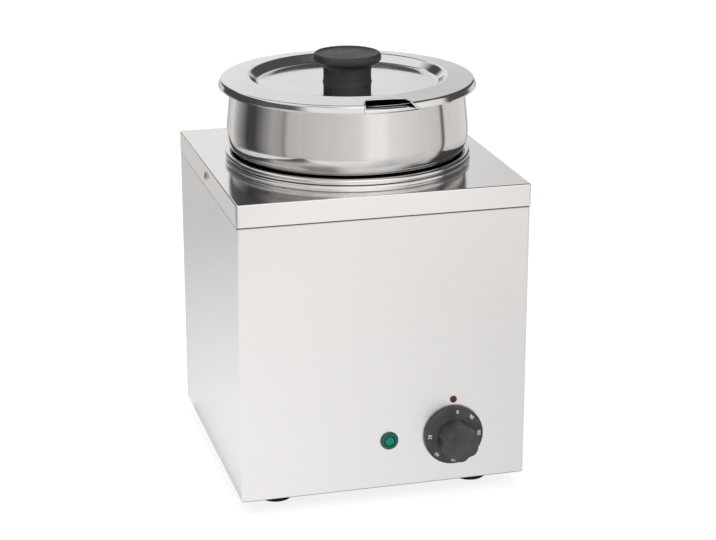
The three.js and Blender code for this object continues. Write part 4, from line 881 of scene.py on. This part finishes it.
def facing(direction, start, end, line=ray):
    """From 0 to 1 as a ray turns towards a direction."""
    turn = add_node(tree, "ShaderNodeMapRange", {"Value": along(tree, line, direction), "From Min": start,
                                                 "From Max": end}, interpolation_type="SMOOTHSTEP")
    return turn.outputs["Result"]


def above(start, end):
    """From 0 to 1 as a ray rises past a height."""
    return facing((0.0, 0.0, 1.0), start, end)


def below(start, end):
    """From 1 to 0 as a ray rises past a height."""
    return facing((0.0, 0.0, -1.0), -end, -start)


def around(degrees, outer, inner):
    """From 0 to 1 as a ray comes near a bearing, given as in the reflector."""
    level = add_node(tree, "ShaderNodeVectorMath", {0: ray, 1: (1.0, 1.0, 0.0)}, operation="MULTIPLY")
    unit = add_node(tree, "ShaderNodeVectorMath", {0: level.outputs[0]}, operation="NORMALIZE")
    turn = math.radians(degrees)
    return facing(to_camera * math.cos(turn) + to_right * math.sin(turn), math.cos(math.radians(outer)),
                  math.cos(math.radians(inner)), unit.outputs[0])


def both(first, second):
    """The product of two factors."""
    return maths(tree, "MULTIPLY", first, second)


def mixed(factor, first, second):
    """Between two tones by a factor."""
    return add_node(tree, "ShaderNodeMix", {"Factor": factor, "A": first, "B": second}).outputs["Result"]


wall = mixed(facing(to_right, 0.0, 0.09), 0.84, 0.66)
wall = mixed(facing(to_right, 0.26, 0.34), wall, 0.14)
wall = mixed(facing(to_right, 0.5, 0.66), wall, 0.85)
wall = mixed(above(0.59, 0.64), wall, 0.1)
panel_light = mixed(around(28, 48, 16), 0.45, 1.3)
front = mixed(above(0.5, 0.6), 0.92, panel_light)
front = mixed(above(0.86, 0.93), front, 0.95)
room = mixed(facing(to_camera, 0.0, 0.3), wall, front)
for flag, tone in ((both(around(120, 30, 20), above(0.4, 0.48)), 0.12),
                   (both(around(130, 36, 28), above(-0.02, 0.06)), 0.08),
                   (both(around(-95, 50, 40), above(0.54, 0.64)), 0.9),
                   (both(facing((-0.818, 0.574, 0.0), 0.7, 0.84), below(0.55, 0.66)), 0.07),
                   (both(around(-134, 26, 18), below(0.46, 0.56)), 0.07),
                   (both(facing((-0.966, -0.257, 0.0), 0.8, 0.9),
                         both(above(0.14, 0.22), below(0.42, 0.52))), 0.1)):
    room = mixed(flag, room, tone)
room = mixed(above(0.95, 0.98), room, 0.95)
room = mixed(add_node(tree, "ShaderNodeLightPath").outputs["Is Camera Ray"], room, 1.0)
sky = add_node(tree, "ShaderNodeBackground", {"Color": (1.0, 1.0, 1.0, 1.0), "Strength": room})
add_node(tree, "ShaderNodeOutputWorld", {"Surface": sky.outputs[0]})

# Lamps: three soft square lamps above and beside the camera, which the steel doesn't mirror.
# They light the plastics and the inside at a plain level.
lamp_target = Vector((0, 0, 0.2))
for name, place, size, watts in (("overhead_softbox", (0.1, 0.2, 2.2), 1.8, 30),
                                 ("left_softbox", (-1.6, -1.5, 1.5), 1.2, 24),
                                 ("right_softbox", (1.8, -1.2, 1.3), 1.0, 14)):
    lamp_data = bpy.data.lights.new(name, "AREA")
    lamp_data.shape = "SQUARE"
    lamp_data.size = size
    lamp_data.energy = watts
    lamp = link_object(name, lamp_data)
    lamp.location = place
    lamp.rotation_euler = (lamp_target - Vector(place)).to_track_quat("-Z", "Y").to_euler()
    lamp.visible_glossy = False

# Picture: colours as written.
bpy.context.scene.view_settings.view_transform = "Standard"
